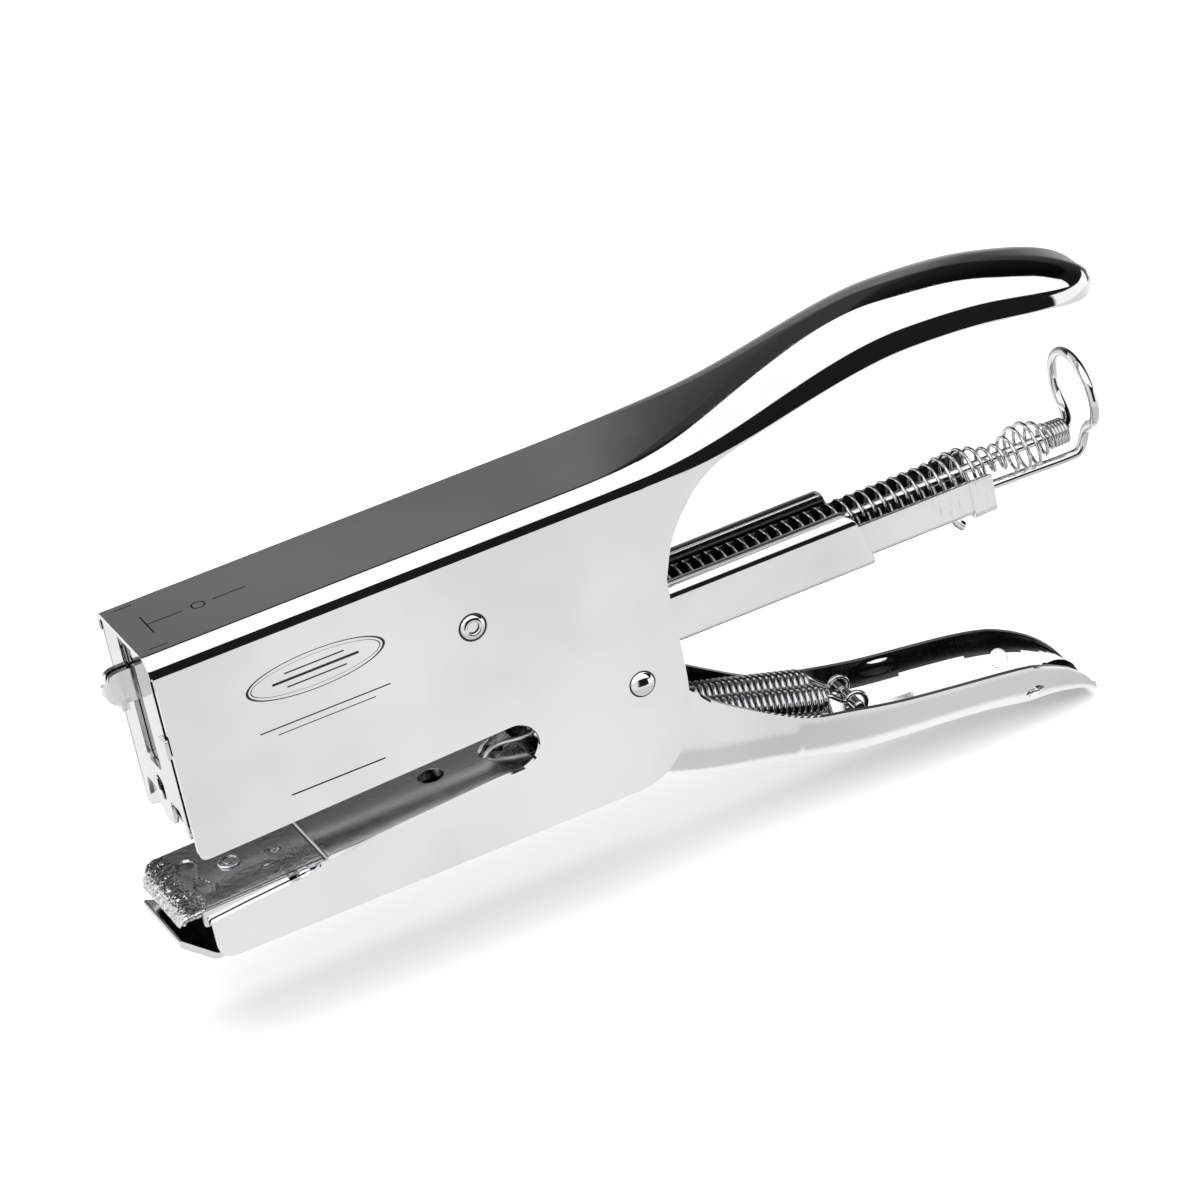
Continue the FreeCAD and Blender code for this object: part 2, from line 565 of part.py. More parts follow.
# ---------------------------------------------------------------- feeder
# (x, y, z) along the wire before the ring, and after it down to the hooked end
ROD_RUN = [(9.5, 0.0, ROD_Z), (60.0, 0.0, ROD_Z), (120.0, 0.0, ROD_Z), (168.0, 0.0, ROD_Z),
           (173.2, 0.15, ROD_Z - 0.1), (175.6, 1.4, ROD_Z + 0.3)]
ROD_RETURN = [(178.3, -0.6, ROD_Z - 0.6), (178.0, 0.0, ROD_Z - 2.6), (176.8, 0.0, 24.0),
              (174.2, 0.0, 23.75), (166.0, 0.0, 23.6), (158.0, 0.0, 23.55),
              (153.0, 0.0, 23.5), (151.2, 0.0, 22.9), (150.6, 0.0, 21.3),
              (150.9, 0.0, 19.3), (152.0, 0.0, 17.9)]


def feed_rod():
    """Wire rod with a finger ring at the rear and a round stop at the front."""
    ring = []
    for degrees in range(-50, 251, 20):
        turned = (degrees + 50) / 300.0
        a = radians(degrees)
        # the ring leans rearwards along the wire, so that its ends pass
        ring.append((RING_X - 0.9 + 2.6 * turned, RING_R * cos(a),
                     ROD_Z + RING_R + RING_R * sin(a)))
    points = ROD_RUN + ring + ROD_RETURN
    curve = Part.BSplineCurve()
    curve.interpolate([V(*p) for p in points])
    start_direction = curve.tangent(curve.FirstParameter)[0]
    profile = Part.Wire([Part.Circle(V(*points[0]), start_direction, ROD_R).toShape()])
    rod = Part.Wire([curve.toShape()]).makePipeShell([profile], True, True)
    return one(rod.fuse(cyl_x(0, ROD_Z, 1.35, 8.4, 9.6)).removeSplitter())


def pusher():
    """Cover over the rail with a block inside, bored for the rod."""
    x0, x1 = 10.2, 24.2
    half, top = 6.45, 30.1
    body = box(x0, x1, -half, half, 23.6, top)
    body = body.cut(box(x0 - 1, x1 + 1, -6.08, 6.08, 20, 29.4))
    body = body.fuse(box(x0 + 1, x1, -3.2, 3.2, 25.2, 29.5))
    body = body.cut(cyl_x(0, ROD_Z, PUSHER_BORE_R, 0, 60)).removeSplitter()
    return one(fillet_long_edges(body, half, top, 0.4))


# (x, outside radius) of the feed spring
FEED_SPRING = [(24.3, 3.4), (120, 3.6), (148, 3.8), (153.5, 3.9), (157.5, 3.1),
               (160.5, 2.5), (163.5, 3.4), (166.5, 3.95), (169, 3.3), (171.5, 2.4),
               (174.0, 2.2)]


def feed_spring():
    """Tube of varying radius standing in for the wound wire."""
    outside = [V(x, 0, r) for x, r in FEED_SPRING]
    inside = [V(x, 0, r - 0.5) for x, r in reversed(FEED_SPRING)]
    tube = Part.Face(closed_polygon(outside + inside)).revolve(V(0, 0, 0), V(1, 0, 0), 360)
    tube.translate(V(0, 0, ROD_Z))
    return one(tube)


# ---------------------------------------------------------------- return springs and hook
def spring_ends(side_sign):
    return [V(x, side_sign * SPRING_Y, z) for x, z in (SPRING_FRONT, SPRING_REAR)]


def spring_hook(trough):
    """Crossbar on a web that is trimmed to the inside of the trough."""
    bar = cyl_y(*HOOK, 0.95, -5.2, 5.2)
    web = prism_xz([(123.2, -4.6), (125.6, -4.6), (126.6, -9.0), (128.5, -13.1),
                    (121.5, -12.0), (122.8, -9.0)], -1.0, 1.0)
    return largest(fuse(bar, web).cut(trough))


def return_spring(side_sign):
    """Helical wire from the front end to the rear end."""
    front, rear = spring_ends(side_sign)
    length = (rear - front).Length
    r = SPRING_R - SPRING_WIRE_R
    helix = Part.makeHelix(length / SPRING_TURNS, length, r)
    profile = Part.Wire([Part.Circle(V(r, 0, 0), V(0, 1, 0), SPRING_WIRE_R).toShape()])
    spring = Part.Wire(helix.Edges).makePipeShell([profile], True, True)
    turn = FreeCAD.Rotation(V(0, 0, 1), rear - front)
    spring.Placement = FreeCAD.Placement(front, turn)
    return spring


# ---------------------------------------------------------------- build and write
trough = handle_trough()
parts = {
    "lower_handle": scallop_for_springs(trough),
    "spring_hook": spring_hook(trough),
    "return_spring_near": return_spring(-1),
    "return_spring_far": return_spring(1),
}
for build in (body_shell, jaw_base_plate, jaw_top_plate, anvil, anvil_rivet, main_rivet,
              pivot_spacers, hollow_pin, magazine_press_spring, drive_lever, lever_rivets,
              magazine_sleeve, staple_rail, rail_end_cap, rail_rivets, front_guide,
              driver_blade, feed_rod, pusher, feed_spring):
    parts[build.__name__] = build()

os.makedirs("parts", exist_ok=True)
for name, shape in parts.items():
    placed = shape.copy()
    placed.translate(V(-CLINCH_X, 0, 0))
    placed.exportStep("parts/%s.step" % name)
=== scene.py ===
import json
from contextlib import contextmanager
from functools import reduce
from math import asin, cos, degrees, exp, hypot, pi, radians, sin, sqrt, tan

import bpy
import bmesh
from mathutils import Matrix, Vector, noise

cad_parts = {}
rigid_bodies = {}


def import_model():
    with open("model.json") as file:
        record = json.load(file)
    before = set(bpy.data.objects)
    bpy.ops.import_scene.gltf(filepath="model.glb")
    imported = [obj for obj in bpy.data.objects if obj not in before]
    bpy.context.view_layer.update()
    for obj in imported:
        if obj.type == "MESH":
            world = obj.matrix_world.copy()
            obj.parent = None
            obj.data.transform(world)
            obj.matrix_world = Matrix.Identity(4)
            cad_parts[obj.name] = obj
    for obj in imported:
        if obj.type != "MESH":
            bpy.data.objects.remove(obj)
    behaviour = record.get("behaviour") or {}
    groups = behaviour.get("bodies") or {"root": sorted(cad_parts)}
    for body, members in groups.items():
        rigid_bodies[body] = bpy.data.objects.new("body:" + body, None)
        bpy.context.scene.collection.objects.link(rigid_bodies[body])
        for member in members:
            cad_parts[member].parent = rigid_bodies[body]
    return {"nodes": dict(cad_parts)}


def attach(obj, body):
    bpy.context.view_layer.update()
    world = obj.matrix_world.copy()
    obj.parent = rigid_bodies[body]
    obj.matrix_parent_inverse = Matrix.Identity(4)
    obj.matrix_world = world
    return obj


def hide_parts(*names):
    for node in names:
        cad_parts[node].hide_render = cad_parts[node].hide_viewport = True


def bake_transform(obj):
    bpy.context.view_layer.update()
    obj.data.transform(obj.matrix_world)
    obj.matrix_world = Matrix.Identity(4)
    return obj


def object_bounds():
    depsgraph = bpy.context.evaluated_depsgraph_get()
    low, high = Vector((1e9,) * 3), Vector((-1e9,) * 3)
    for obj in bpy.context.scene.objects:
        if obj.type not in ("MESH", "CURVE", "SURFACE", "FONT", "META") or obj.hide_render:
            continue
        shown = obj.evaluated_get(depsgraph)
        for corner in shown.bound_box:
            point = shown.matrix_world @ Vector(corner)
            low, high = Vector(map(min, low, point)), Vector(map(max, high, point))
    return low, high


for old_object in list(bpy.data.objects):
    bpy.data.objects.remove(old_object, do_unlink=True)
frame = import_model()
CAD_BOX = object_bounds()

# ---- shared dimensions ----
ORIGIN_X = 2.0
HALF = 12.5                        # half width of the body shell
SHEET = 1.0                        # its wall thickness
INSIDE = HALF - SHEET - 0.05       # half width of the plates that fit between the walls
AXLE_X, AXLE_Z = 83.6, 19.6        # main rivet
AXLE_HOLE = 1.95
PIN_X, PIN_Z = 56.4, 42.1          # hollow pin that carries the press spring
SIDES = ((-1, "near"), (1, "far"))


# ---- numbers and curves ----
def to_frame(x, y, z):
    return ((x - ORIGIN_X) / 1000.0, y / 1000.0, z / 1000.0)


def interp(table, x):
    """monotone cubic through the (x, value) rows of a table, held constant past its ends"""
    if x <= table[0][0]:
        return table[0][1]
    if x >= table[-1][0]:
        return table[-1][1]
    slopes = [(v1 - v0) / (x1 - x0) for (x0, v0), (x1, v1) in zip(table, table[1:])]
    inner = [0.0 if a * b <= 0 else 2 * a * b / (a + b) for a, b in zip(slopes, slopes[1:])]
    tangents = [slopes[0]] + inner + [slopes[-1]]
    i = next(i for i in range(len(slopes)) if x <= table[i + 1][0])
    (x0, v0), (x1, v1) = table[i], table[i + 1]
    h = x1 - x0
    t = (x - x0) / h
    return ((2 * t ** 3 - 3 * t * t + 1) * v0 + (t ** 3 - 2 * t * t + t) * h * tangents[i]
            + (-2 * t ** 3 + 3 * t * t) * v1 + (t ** 3 - t * t) * h * tangents[i + 1])


class SmoothCurve:
    """a table sampled finely and smoothed with a Gaussian whose width is spread(x)"""
    STEP = 0.5

    def __init__(self, table, spread):
        step = self.STEP
        self.start = table[0][0]
        count = int(round((table[-1][0] - self.start) / step)) + 1
        raw = [interp(table, self.start + i * step) for i in range(count)]

        def sample(i):
            """raw value; past the ends it carries on along the slope there"""
            if i < 0:
                return raw[0] + (raw[1] - raw[0]) * i
            if i >= count:
                return raw[-1] + (raw[-1] - raw[-2]) * (i - count + 1)
            return raw[i]

        self.values = []
        for i in range(count):
            sigma = spread(self.start + i * step) / step
            if sigma < 0.4:
                self.values.append(raw[i])
                continue
            reach = int(sigma * 3) + 1
            total = weighted = 0.0
            for j in range(-reach, reach + 1):
                weight = exp(-0.5 * (j / sigma) ** 2)
                total += weight
                weighted += weight * sample(i + j)
            self.values.append(weighted / total)

    def __call__(self, x):
        place = (x - self.start) / self.STEP
        if place <= 0:
            return self.values[0]
        if place >= len(self.values) - 1:
            return self.values[-1]
        i = int(place)
        return self.values[i] + (self.values[i + 1] - self.values[i]) * (place - i)


def stations(start, *runs):
    """even positions from start through each run's (stop, step)"""
    out = [start]
    for stop, step in runs:
        n = max(1, int(round((stop - start) / step)))
        out += [start + (stop - start) * i / n for i in range(1, n + 1)]
        start = stop
    return out


def arc(cx, cz, r, start, end, n):
    angles = [radians(start + (end - start) * i / n) for i in range(n + 1)]
    return [(cx + r * cos(a), cz + r * sin(a)) for a in angles]


def mirror(rows):
    """the rows in reverse order with their first column negated"""
    return [(-first, *rest) for first, *rest in reversed(rows)]


def resample(points, step):
    """points every step along a polyline"""
    points = [Vector(p) for p in points]
    out = [points[0]]
    need = step
    for a, b in zip(points, points[1:]):
        length = (b - a).length
        if length < 1e-9:
            continue
        pos = 0.0
        while pos + need <= length:
            pos += need
            out.append(a + (b - a) * (pos / length))
            need = step
        need -= length - pos
    if (out[-1] - points[-1]).length > step * 0.3:
        out.append(points[-1])
    else:
        out[-1] = points[-1]
    return out


def catmull(points, n):
    """centripetal Catmull-Rom curve through points, n steps per span"""
    pts = [Vector(p) for p in points]
    pts = [pts[0] * 2 - pts[1]] + pts + [pts[-1] * 2 - pts[-2]]
    out = []
    for p0, p1, p2, p3 in zip(pts, pts[1:], pts[2:], pts[3:]):
        t0 = 0.0
        t1 = t0 + max((p1 - p0).length ** 0.5, 1e-6)
        t2 = t1 + max((p2 - p1).length ** 0.5, 1e-6)
        t3 = t2 + max((p3 - p2).length ** 0.5, 1e-6)
        for k in range(n):
            t = t1 + (t2 - t1) * k / n
            a1 = p0 * ((t1 - t) / (t1 - t0)) + p1 * ((t - t0) / (t1 - t0))
            a2 = p1 * ((t2 - t) / (t2 - t1)) + p2 * ((t - t1) / (t2 - t1))
            a3 = p2 * ((t3 - t) / (t3 - t2)) + p3 * ((t - t2) / (t3 - t2))
            b1 = a1 * ((t2 - t) / (t2 - t0)) + a2 * ((t - t0) / (t2 - t0))
            b2 = a2 * ((t3 - t) / (t3 - t1)) + a3 * ((t - t1) / (t3 - t1))
            out.append(b1 * ((t2 - t) / (t2 - t1)) + b2 * ((t - t1) / (t2 - t1)))
    out.append(pts[-2])
    return out


def round_outline(corners, segments):
    """polygon from corners (u, v, radius); radius 0 keeps a corner sharp"""
    out = []
    n = len(corners)
    for i, (u, v, radius) in enumerate(corners):
        corner = Vector((u, v))
        to_last = Vector(corners[i - 1][:2]) - corner
        to_next = Vector(corners[(i + 1) % n][:2]) - corner
        last_length, next_length = to_last.length, to_next.length
        to_last.normalize()
        to_next.normalize()
        angle = to_last.angle(to_next)
        if radius <= 0 or angle > radians(176) or angle < radians(4):
            out.append((corner.x, corner.y))
            continue
        setback = min(radius / tan(angle / 2), last_length * 0.49, next_length * 0.49)
        fitted = setback * tan(angle / 2)
        centre = corner + (to_last + to_next).normalized() * (fitted / sin(angle / 2))
        start = corner + to_last * setback - centre
        end = corner + to_next * setback - centre
        turn = start.angle_signed(end)
        for k in range(segments + 1):
            a = -turn * k / segments
            out.append((centre.x + start.x * cos(a) - start.y * sin(a),
                        centre.y + start.x * sin(a) + start.y * cos(a)))
    return out


# ---- shader graph helper ----
class Graph:
    """an emptied node tree, with short ways to add nodes"""

    def __init__(self, owner):
        owner.use_nodes = True
        self.nodes = owner.node_tree.nodes
        self.links = owner.node_tree.links
        self.nodes.clear()

    def new(self, kind, **settings):
        node = self.nodes.new(kind)
        for key, value in settings.items():
            setattr(node, key, value)
        return node

    def put(self, socket, value):
        if isinstance(value, bpy.types.NodeSocket):
            self.links.new(value, socket)
        else:
            socket.default_value = value

    def math(self, operation, *values):
        node = self.new("ShaderNodeMath", operation=operation)
        for socket, value in zip(node.inputs, values):
            self.put(socket, value)
        return node.outputs[0]

    def add(self, a, b):
        return self.math("ADD", a, b)

    def sub(self, a, b):
        return self.math("SUBTRACT", a, b)

    def mul(self, a, b):
        return self.math("MULTIPLY", a, b)

    def max(self, a, b):
        return self.math("MAXIMUM", a, b)

    def length(self, a, b):
        return self.math("SQRT", self.add(self.math("POWER", a, 2.0), self.math("POWER", b, 2.0)))

    def ramp(self, value, low, high, out=(0.0, 1.0)):
        """smooth step from out[0] at low to out[1] at high"""
        node = self.new("ShaderNodeMapRange", interpolation_type="SMOOTHSTEP", clamp=True)
        self.put(node.inputs["Value"], value)
        node.inputs["From Min"].default_value = low
        node.inputs["From Max"].default_value = high
        node.inputs["To Min"].default_value = out[0]
        node.inputs["To Max"].default_value = out[1]
        return node.outputs["Result"]

    def mix(self, share, a, b):
        node = self.new("ShaderNodeMix", data_type="FLOAT", clamp_factor=True)
        self.put(node.inputs[0], share)
        self.put(node.inputs[2], a)
        self.put(node.inputs[3], b)
        return node.outputs[0]

    def mix_colour(self, share, a, b):
        node = self.new("ShaderNodeMix", data_type="RGBA", clamp_factor=True)
        self.put(node.inputs[0], share)
        self.put(node.inputs[6], a)
        self.put(node.inputs[7], b)
        return node.outputs[2]

    def noise(self, coords, scale, detail=3.0, roughness=0.55, distortion=0.0):
        node = self.new("ShaderNodeTexNoise")
        self.links.new(coords, node.inputs["Vector"])
        node.inputs["Scale"].default_value = scale
        node.inputs["Detail"].default_value = detail
        node.inputs["Roughness"].default_value = roughness
        node.inputs["Distortion"].default_value = distortion
        return node.outputs["Fac"]

    def mapping(self, coords, scale, rotation=(0.0, 0.0, 0.0)):
        node = self.new("ShaderNodeMapping")
        self.links.new(coords, node.inputs["Vector"])
        node.inputs["Scale"].default_value = scale
        node.inputs["Rotation"].default_value = rotation
        return node.outputs["Vector"]

    def split(self, coords):
        node = self.new("ShaderNodeSeparateXYZ")
        self.links.new(coords, node.inputs[0])
        return node.outputs

    def bump(self, height, strength, distance, normal=None):
        node = self.new("ShaderNodeBump")
        node.inputs["Strength"].default_value = strength
        node.inputs["Distance"].default_value = distance
        self.links.new(height, node.inputs["Height"])
        if normal is not None:
            self.links.new(normal, node.inputs["Normal"])
        return node.outputs[0]


# ---- etched lines on the shell, and painted shadow rings round its pins ----
def line_mask(g, distance, half_width):
    return g.ramp(distance, low=half_width * 0.8, high=half_width * 1.25, out=(1.0, 0.0))


def stroke(g, u, v, u0, v0, u1, v1, half_width):
    """1 on a straight line from (u0, v0) to (u1, v1)"""
    length = hypot(u1 - u0, v1 - v0)
    du, dv = (u1 - u0) / length, (v1 - v0) / length
    along = g.add(g.mul(g.sub(u, u0), du), g.mul(g.sub(v, v0), dv))
    across = g.sub(g.mul(g.sub(v, v0), du), g.mul(g.sub(u, u0), dv))
    nearest = g.math("MINIMUM", g.max(along, 0.0), length)
    return line_mask(g, g.length(g.sub(along, nearest), across), half_width)


def oval(g, u, v, centre_u, centre_v, radius_u, radius_v, half_width):
    """1 on the rim of an ellipse"""
    part_u = g.math("DIVIDE", g.sub(u, centre_u), radius_u)
    part_v = g.math("DIVIDE", g.sub(v, centre_v), radius_v)
    off_rim = g.math("ABSOLUTE", g.sub(g.length(part_u, part_v), 1.0))
    return line_mask(g, g.mul(off_rim, (radius_u + radius_v) * 0.5), half_width)


# Rows are (stroke, u0, v0, u1, v1, half width) or (oval, centre u, v, radius u, v, half width),
# in mm from the scene's origin.
FLANK_MARKS = [                                   # u = x, v = z
    (oval, 26.0, 45.8, 12.6, 3.5, 0.15),
    (oval, 26.0, 45.8, 11.9, 2.8, 0.06),
    (stroke, 18.2, 45.8, 33.8, 45.8, 0.22),
    (stroke, 20.6, 44.5, 31.4, 44.5, 0.12),
    (stroke, 20.6, 47.1, 31.4, 47.1, 0.12),
    (stroke, 14.0, 37.9, 38.0, 37.9, 0.11),
    (stroke, 17.0, 36.6, 35.0, 36.6, 0.08),
    (stroke, 16.8, 24.9, 34.0, 24.9, 0.13),
]
PIN_SHADOW_RINGS = [                                     # u = x, v = z; painted contact-shadow rings round the two cross pins
    (oval, PIN_X - ORIGIN_X, PIN_Z, 2.30, 2.30, 0.30),
    (oval, AXLE_X - ORIGIN_X, AXLE_Z, 2.28, 2.28, 0.17),
]
ROOF_MARKS = [                                    # u = x, v = y
    (stroke, 3.0, 0.0, 9.5, 0.0, 0.14),
    (stroke, 3.0, -3.4, 3.0, 3.4, 0.14),
    (oval, 12.4, 0.0, 1.15, 1.15, 0.14),
    (stroke, 15.2, 0.0, 21.0, 0.0, 0.14),
    (stroke, 0.2, 8.6, 3.4, 8.6, 0.13),
    (stroke, 0.2, -8.6, 3.4, -8.6, 0.13),
]


def shell_marks(g, coords):
    """mask of the etched lines on the near flank and the roof, and of the painted contact-shadow
    rings round the pins
    """
    x, y, z = (g.mul(axis, 1000.0) for axis in g.split(coords))

    def near_flank():
        return g.ramp(y, low=-12.47, high=-12.40, out=(1.0, 0.0))

    def draw(u, v, marks):
        return reduce(g.max, [shape(g, u, v, *sizes) for shape, *sizes in marks])

    flank = g.mul(near_flank(), g.ramp(x, low=46.0, high=46.5, out=(1.0, 0.0)))
    flank_lines = draw(x, z, FLANK_MARKS)
    # painted contact-shadow rings round the two pins on the near flank
    pin_shadows = g.mul(draw(x, z, PIN_SHADOW_RINGS), near_flank())
    roof = g.mul(g.ramp(z, low=58.42, high=58.47),
                 g.ramp(x, low=24.0, high=24.5, out=(1.0, 0.0)))
    roof_lines = draw(x, y, ROOF_MARKS)
    return g.max(g.max(g.mul(flank, flank_lines), pin_shadows), g.mul(roof, roof_lines))


# ---- metals ----
GRAIN_STRETCH = {"x": (60.0, 2200.0, 2200.0), "z": (2200.0, 2200.0, 60.0)}


def hairlines(g, coords, rotation, density):
    """thin, long scratches in one direction"""
    stretched = g.mapping(coords, scale=(900.0 * density, 900.0 * density, 36.0 * density),
                          rotation=rotation)
    cells = g.noise(stretched, scale=1.0, detail=1.0, roughness=0.4)
    return g.ramp(g.math("ABSOLUTE", g.sub(cells, 0.5)), low=0.0, high=0.012, out=(1.0, 0.0))


def tinted(colour, red, green, blue):
    return tuple(min(1.0, c * f) for c, f in zip(colour, (red, green, blue))) + (1.0,)


def metal(name, colour, roughness, scratch, smudge, wave=0.0, wave_scale=60.0, grain=0.0,
          grain_scale=900.0, grain_along=None, pitting=0.0, speckle=0.0, marks=None):
    """Plated or bare metal. The colour drifts slightly, smudges and hairline scratches break up
    the roughness, and the bump adds waviness (wave, in metres), a fine grain and the scratches."""
    material = bpy.data.materials.new(name)
    g = Graph(material)
    output = g.new("ShaderNodeOutputMaterial")
    surface = g.new("ShaderNodeBsdfPrincipled")
    g.links.new(surface.outputs[0], output.inputs[0])
    coords = g.new("ShaderNodeTexCoord").outputs["Object"]
    surface.inputs["Metallic"].default_value = 1.0

    scratches = [hairlines(g, coords, rotation=(0.2, 1.25, 0.3), density=1.0),
                 hairlines(g, coords, rotation=(1.1, 0.35, 0.9), density=0.8)]
    patches = g.ramp(g.noise(coords, scale=55.0, detail=2.0), low=0.48, high=0.72)
    hairs = g.mul(g.max(*scratches), patches)

    smudges = g.noise(coords, scale=38.0, detail=5.0, roughness=0.62, distortion=0.4)
    fine = g.noise(coords, scale=420.0, detail=4.0, roughness=0.6)
    rough = g.add(roughness, g.mul(g.sub(smudges, 0.5), smudge))
    rough = g.add(rough, g.mul(g.sub(fine, 0.5), smudge * 0.5))
    rough = g.add(rough, g.mul(hairs, scratch))
    if speckle:
        specks = g.ramp(g.noise(coords, scale=1500.0, detail=2.0, roughness=0.7),
                        low=0.50, high=0.66)
        rough = g.add(rough, g.mul(specks, speckle * 0.35))
    rough = g.max(rough, 0.02)

    drift = g.ramp(g.noise(coords, scale=22.0, detail=3.0), low=0.30, high=0.70)
    base = g.mix_colour(drift, tinted(colour, red=0.90, green=0.90, blue=0.905),
                        tinted(colour, red=1.06, green=1.06, blue=1.06))
    if speckle:
        base = g.mix_colour(g.mul(specks, speckle), base,
                            tinted(colour, red=0.35, green=0.35, blue=0.36))
    if pitting:
        pits = g.ramp(g.noise(coords, scale=260.0, detail=3.0, roughness=0.7),
                      low=0.60, high=0.74)
        base = g.mix_colour(g.mul(pits, pitting), base, (0.05, 0.05, 0.052, 1))

    height = g.mul(hairs, -0.15)
    if grain:
        stretched = g.mapping(coords, scale=GRAIN_STRETCH.get(grain_along, (grain_scale,) * 3))
        grains = g.noise(stretched, scale=1.0, detail=2.0, roughness=0.6)
        height = g.add(height, g.mul(grains, grain))
    if marks is not None:
        # etched lines, and the painted contact-shadow rings round the pins, are nearly black,
        # duller and sunk
        mask = marks(g, coords)
        base = g.mix_colour(g.mul(mask, 0.93), base, (0.012, 0.012, 0.013, 1))
        rough = g.add(rough, g.mul(mask, 0.35))
        height = g.add(height, g.mul(mask, -0.6))
    normal = g.bump(height, strength=0.35, distance=0.00002)
    if wave:
        waves = g.noise(coords, scale=wave_scale, detail=1.5, roughness=0.4)
        normal = g.bump(waves, strength=1.0, distance=wave, normal=normal)
    g.links.new(normal, surface.inputs["Normal"])
    g.links.new(base, surface.inputs["Base Color"])
    g.links.new(rough, surface.inputs["Roughness"])
    return material


SHELL_CHROME = metal("chrome_shell", colour=(0.93, 0.93, 0.935), roughness=0.045, wave=0.00002,
                     wave_scale=34.0, scratch=0.05, smudge=0.03, marks=shell_marks)
HANDLE_CHROME = metal("chrome_handle", colour=(0.92, 0.92, 0.925), roughness=0.05, wave=0.00002,
                      wave_scale=40.0, scratch=0.06, smudge=0.035)
SLEEVE_METAL = metal("plated_sleeve", colour=(0.90, 0.90, 0.905), roughness=0.10, wave=0.00001,
                     wave_scale=80.0, grain=0.5, grain_along="x", scratch=0.10, smudge=0.06)
RAIL_METAL = metal("plated_rail", colour=(0.89, 0.89, 0.895), roughness=0.12, grain=0.5,
                   grain_along="x", scratch=0.12, smudge=0.06)
PLATE_METAL = metal("satin_plate", colour=(0.86, 0.86, 0.865), roughness=0.16, wave=0.000012,
                    wave_scale=90.0, grain=0.9, grain_scale=1400.0, scratch=0.14, smudge=0.10,
                    pitting=0.25)
ANVIL_METAL = metal("anvil_steel", colour=(0.80, 0.80, 0.81), roughness=0.20, grain=1.4,
                    grain_scale=1700.0, scratch=0.16, smudge=0.14, pitting=0.45)
LIP_METAL = metal("hammered_lip", colour=(0.97, 0.97, 0.975), roughness=0.10, grain=1.6,
                  grain_scale=2000.0, scratch=0.1, smudge=0.1, pitting=0.6, speckle=0.85)
# painted shade: a dark steel that stands in for the shade and dark reflections inside the trough,
# the sleeve, the rail and the pin's bore
PAINTED_SHADE_METAL = metal("painted_shade_inside", colour=(0.075, 0.075, 0.078), roughness=0.22, grain=0.8,
                   grain_along="x", scratch=0.16, smudge=0.10)
GUIDE_METAL = metal("guide_steel", colour=(0.88, 0.88, 0.885), roughness=0.14, grain=0.7,
                    grain_along="z", scratch=0.12, smudge=0.08, pitting=0.2)
WIRE_METAL = metal("bright_wire", colour=(0.88, 0.88, 0.885), roughness=0.10, grain=0.5,
                   scratch=0.10, smudge=0.08)
SPRING_METAL = metal("spring_wire", colour=(0.74, 0.74, 0.75), roughness=0.09, grain=0.4,
                     scratch=0.08, smudge=0.06)
RIVET_METAL = metal("rivet_plate", colour=(0.92, 0.92, 0.925), roughness=0.06, grain=0.3,
                    scratch=0.08, smudge=0.05)
BLADE_METAL = metal("hardened_blade", colour=(0.42, 0.42, 0.43), roughness=0.26, grain=1.2,
                    grain_along="z", scratch=0.18, smudge=0.12, pitting=0.35)


# ---- mesh building ----
collection = bpy.context.scene.collection


@contextmanager
def editing(mesh):
    bm = bmesh.new()
    bm.from_mesh(mesh)
    yield bm
    bm.to_mesh(mesh)
    bm.free()


def make_object(name, verts, faces):
    mesh = bpy.data.meshes.new(name)
    mesh.from_pydata([to_frame(*v) for v in verts], [], faces)
    with editing(mesh) as bm:
        bmesh.ops.remove_doubles(bm, verts=bm.verts, dist=1e-7)
        bmesh.ops.dissolve_degenerate(bm, edges=bm.edges, dist=1e-8)
        bmesh.ops.recalc_face_normals(bm, faces=bm.faces)
    piece = bpy.data.objects.new(name, mesh)
    collection.objects.link(piece)
    return piece


def grid(name, verts, row):
    """open sheet from rows of vertices, row of them in each"""
    faces = []
    for start in range(0, len(verts) - row, row):
        for a in range(start, start + row - 1):
            faces.append((a, a + 1, a + row + 1, a + row))
    return make_object(name, verts, faces)


def tube(name, verts, around, ring=False):
    """skin over loops of around vertices; its ends are capped, or joined if ring is set"""
    loops = len(verts) // around
    faces = []
    for i in range(loops if ring else loops - 1):
        a, b = i * around, (i + 1) % loops * around
        for k in range(around):
            k2 = (k + 1) % around
            faces.append((a + k, a + k2, b + k2, b + k))
    if not ring:
        faces.append(tuple(range(around))[::-1])
        faces.append(tuple((loops - 1) * around + k for k in range(around)))
    return make_object(name, verts, faces)


def prism(name, outline, axis, start, end):
    """closed outline extruded along axis. x: (y, z) outline; y: (x, z); z: (x, y)"""
    def place(u, v, w):
        return {"x": (w, u, v), "y": (u, w, v), "z": (u, v, w)}[axis]
    n = len(outline)
    verts = [place(u, v, w) for w in (start, end) for u, v in outline]
    faces = [list(range(n))[::-1], list(range(n, 2 * n))]
    faces += [(i, (i + 1) % n, (i + 1) % n + n, i + n) for i in range(n)]
    return make_object(name, verts, faces)


def flank_plate(name, outline, side, inner, outer):
    """(x, z) outline standing on one side, between inner and outer from the middle plane"""
    return prism(name, outline, "y", *sorted((side * inner, side * outer)))


def lathe(name, profile, centre, axis, segments, ring=False):
    """profile (distance along axis, radius) turned round axis through centre"""
    axis = Vector(axis).normalized()
    u = axis.orthogonal().normalized()
    v = axis.cross(u)
    verts = []
    for distance, radius in profile:
        for k in range(segments):
            a = 2 * pi * k / segments
            offset = (u * cos(a) + v * sin(a)) * max(radius, 1e-4)
            verts.append(tuple(Vector(centre) + axis * distance + offset))
    return tube(name, verts, segments, ring)


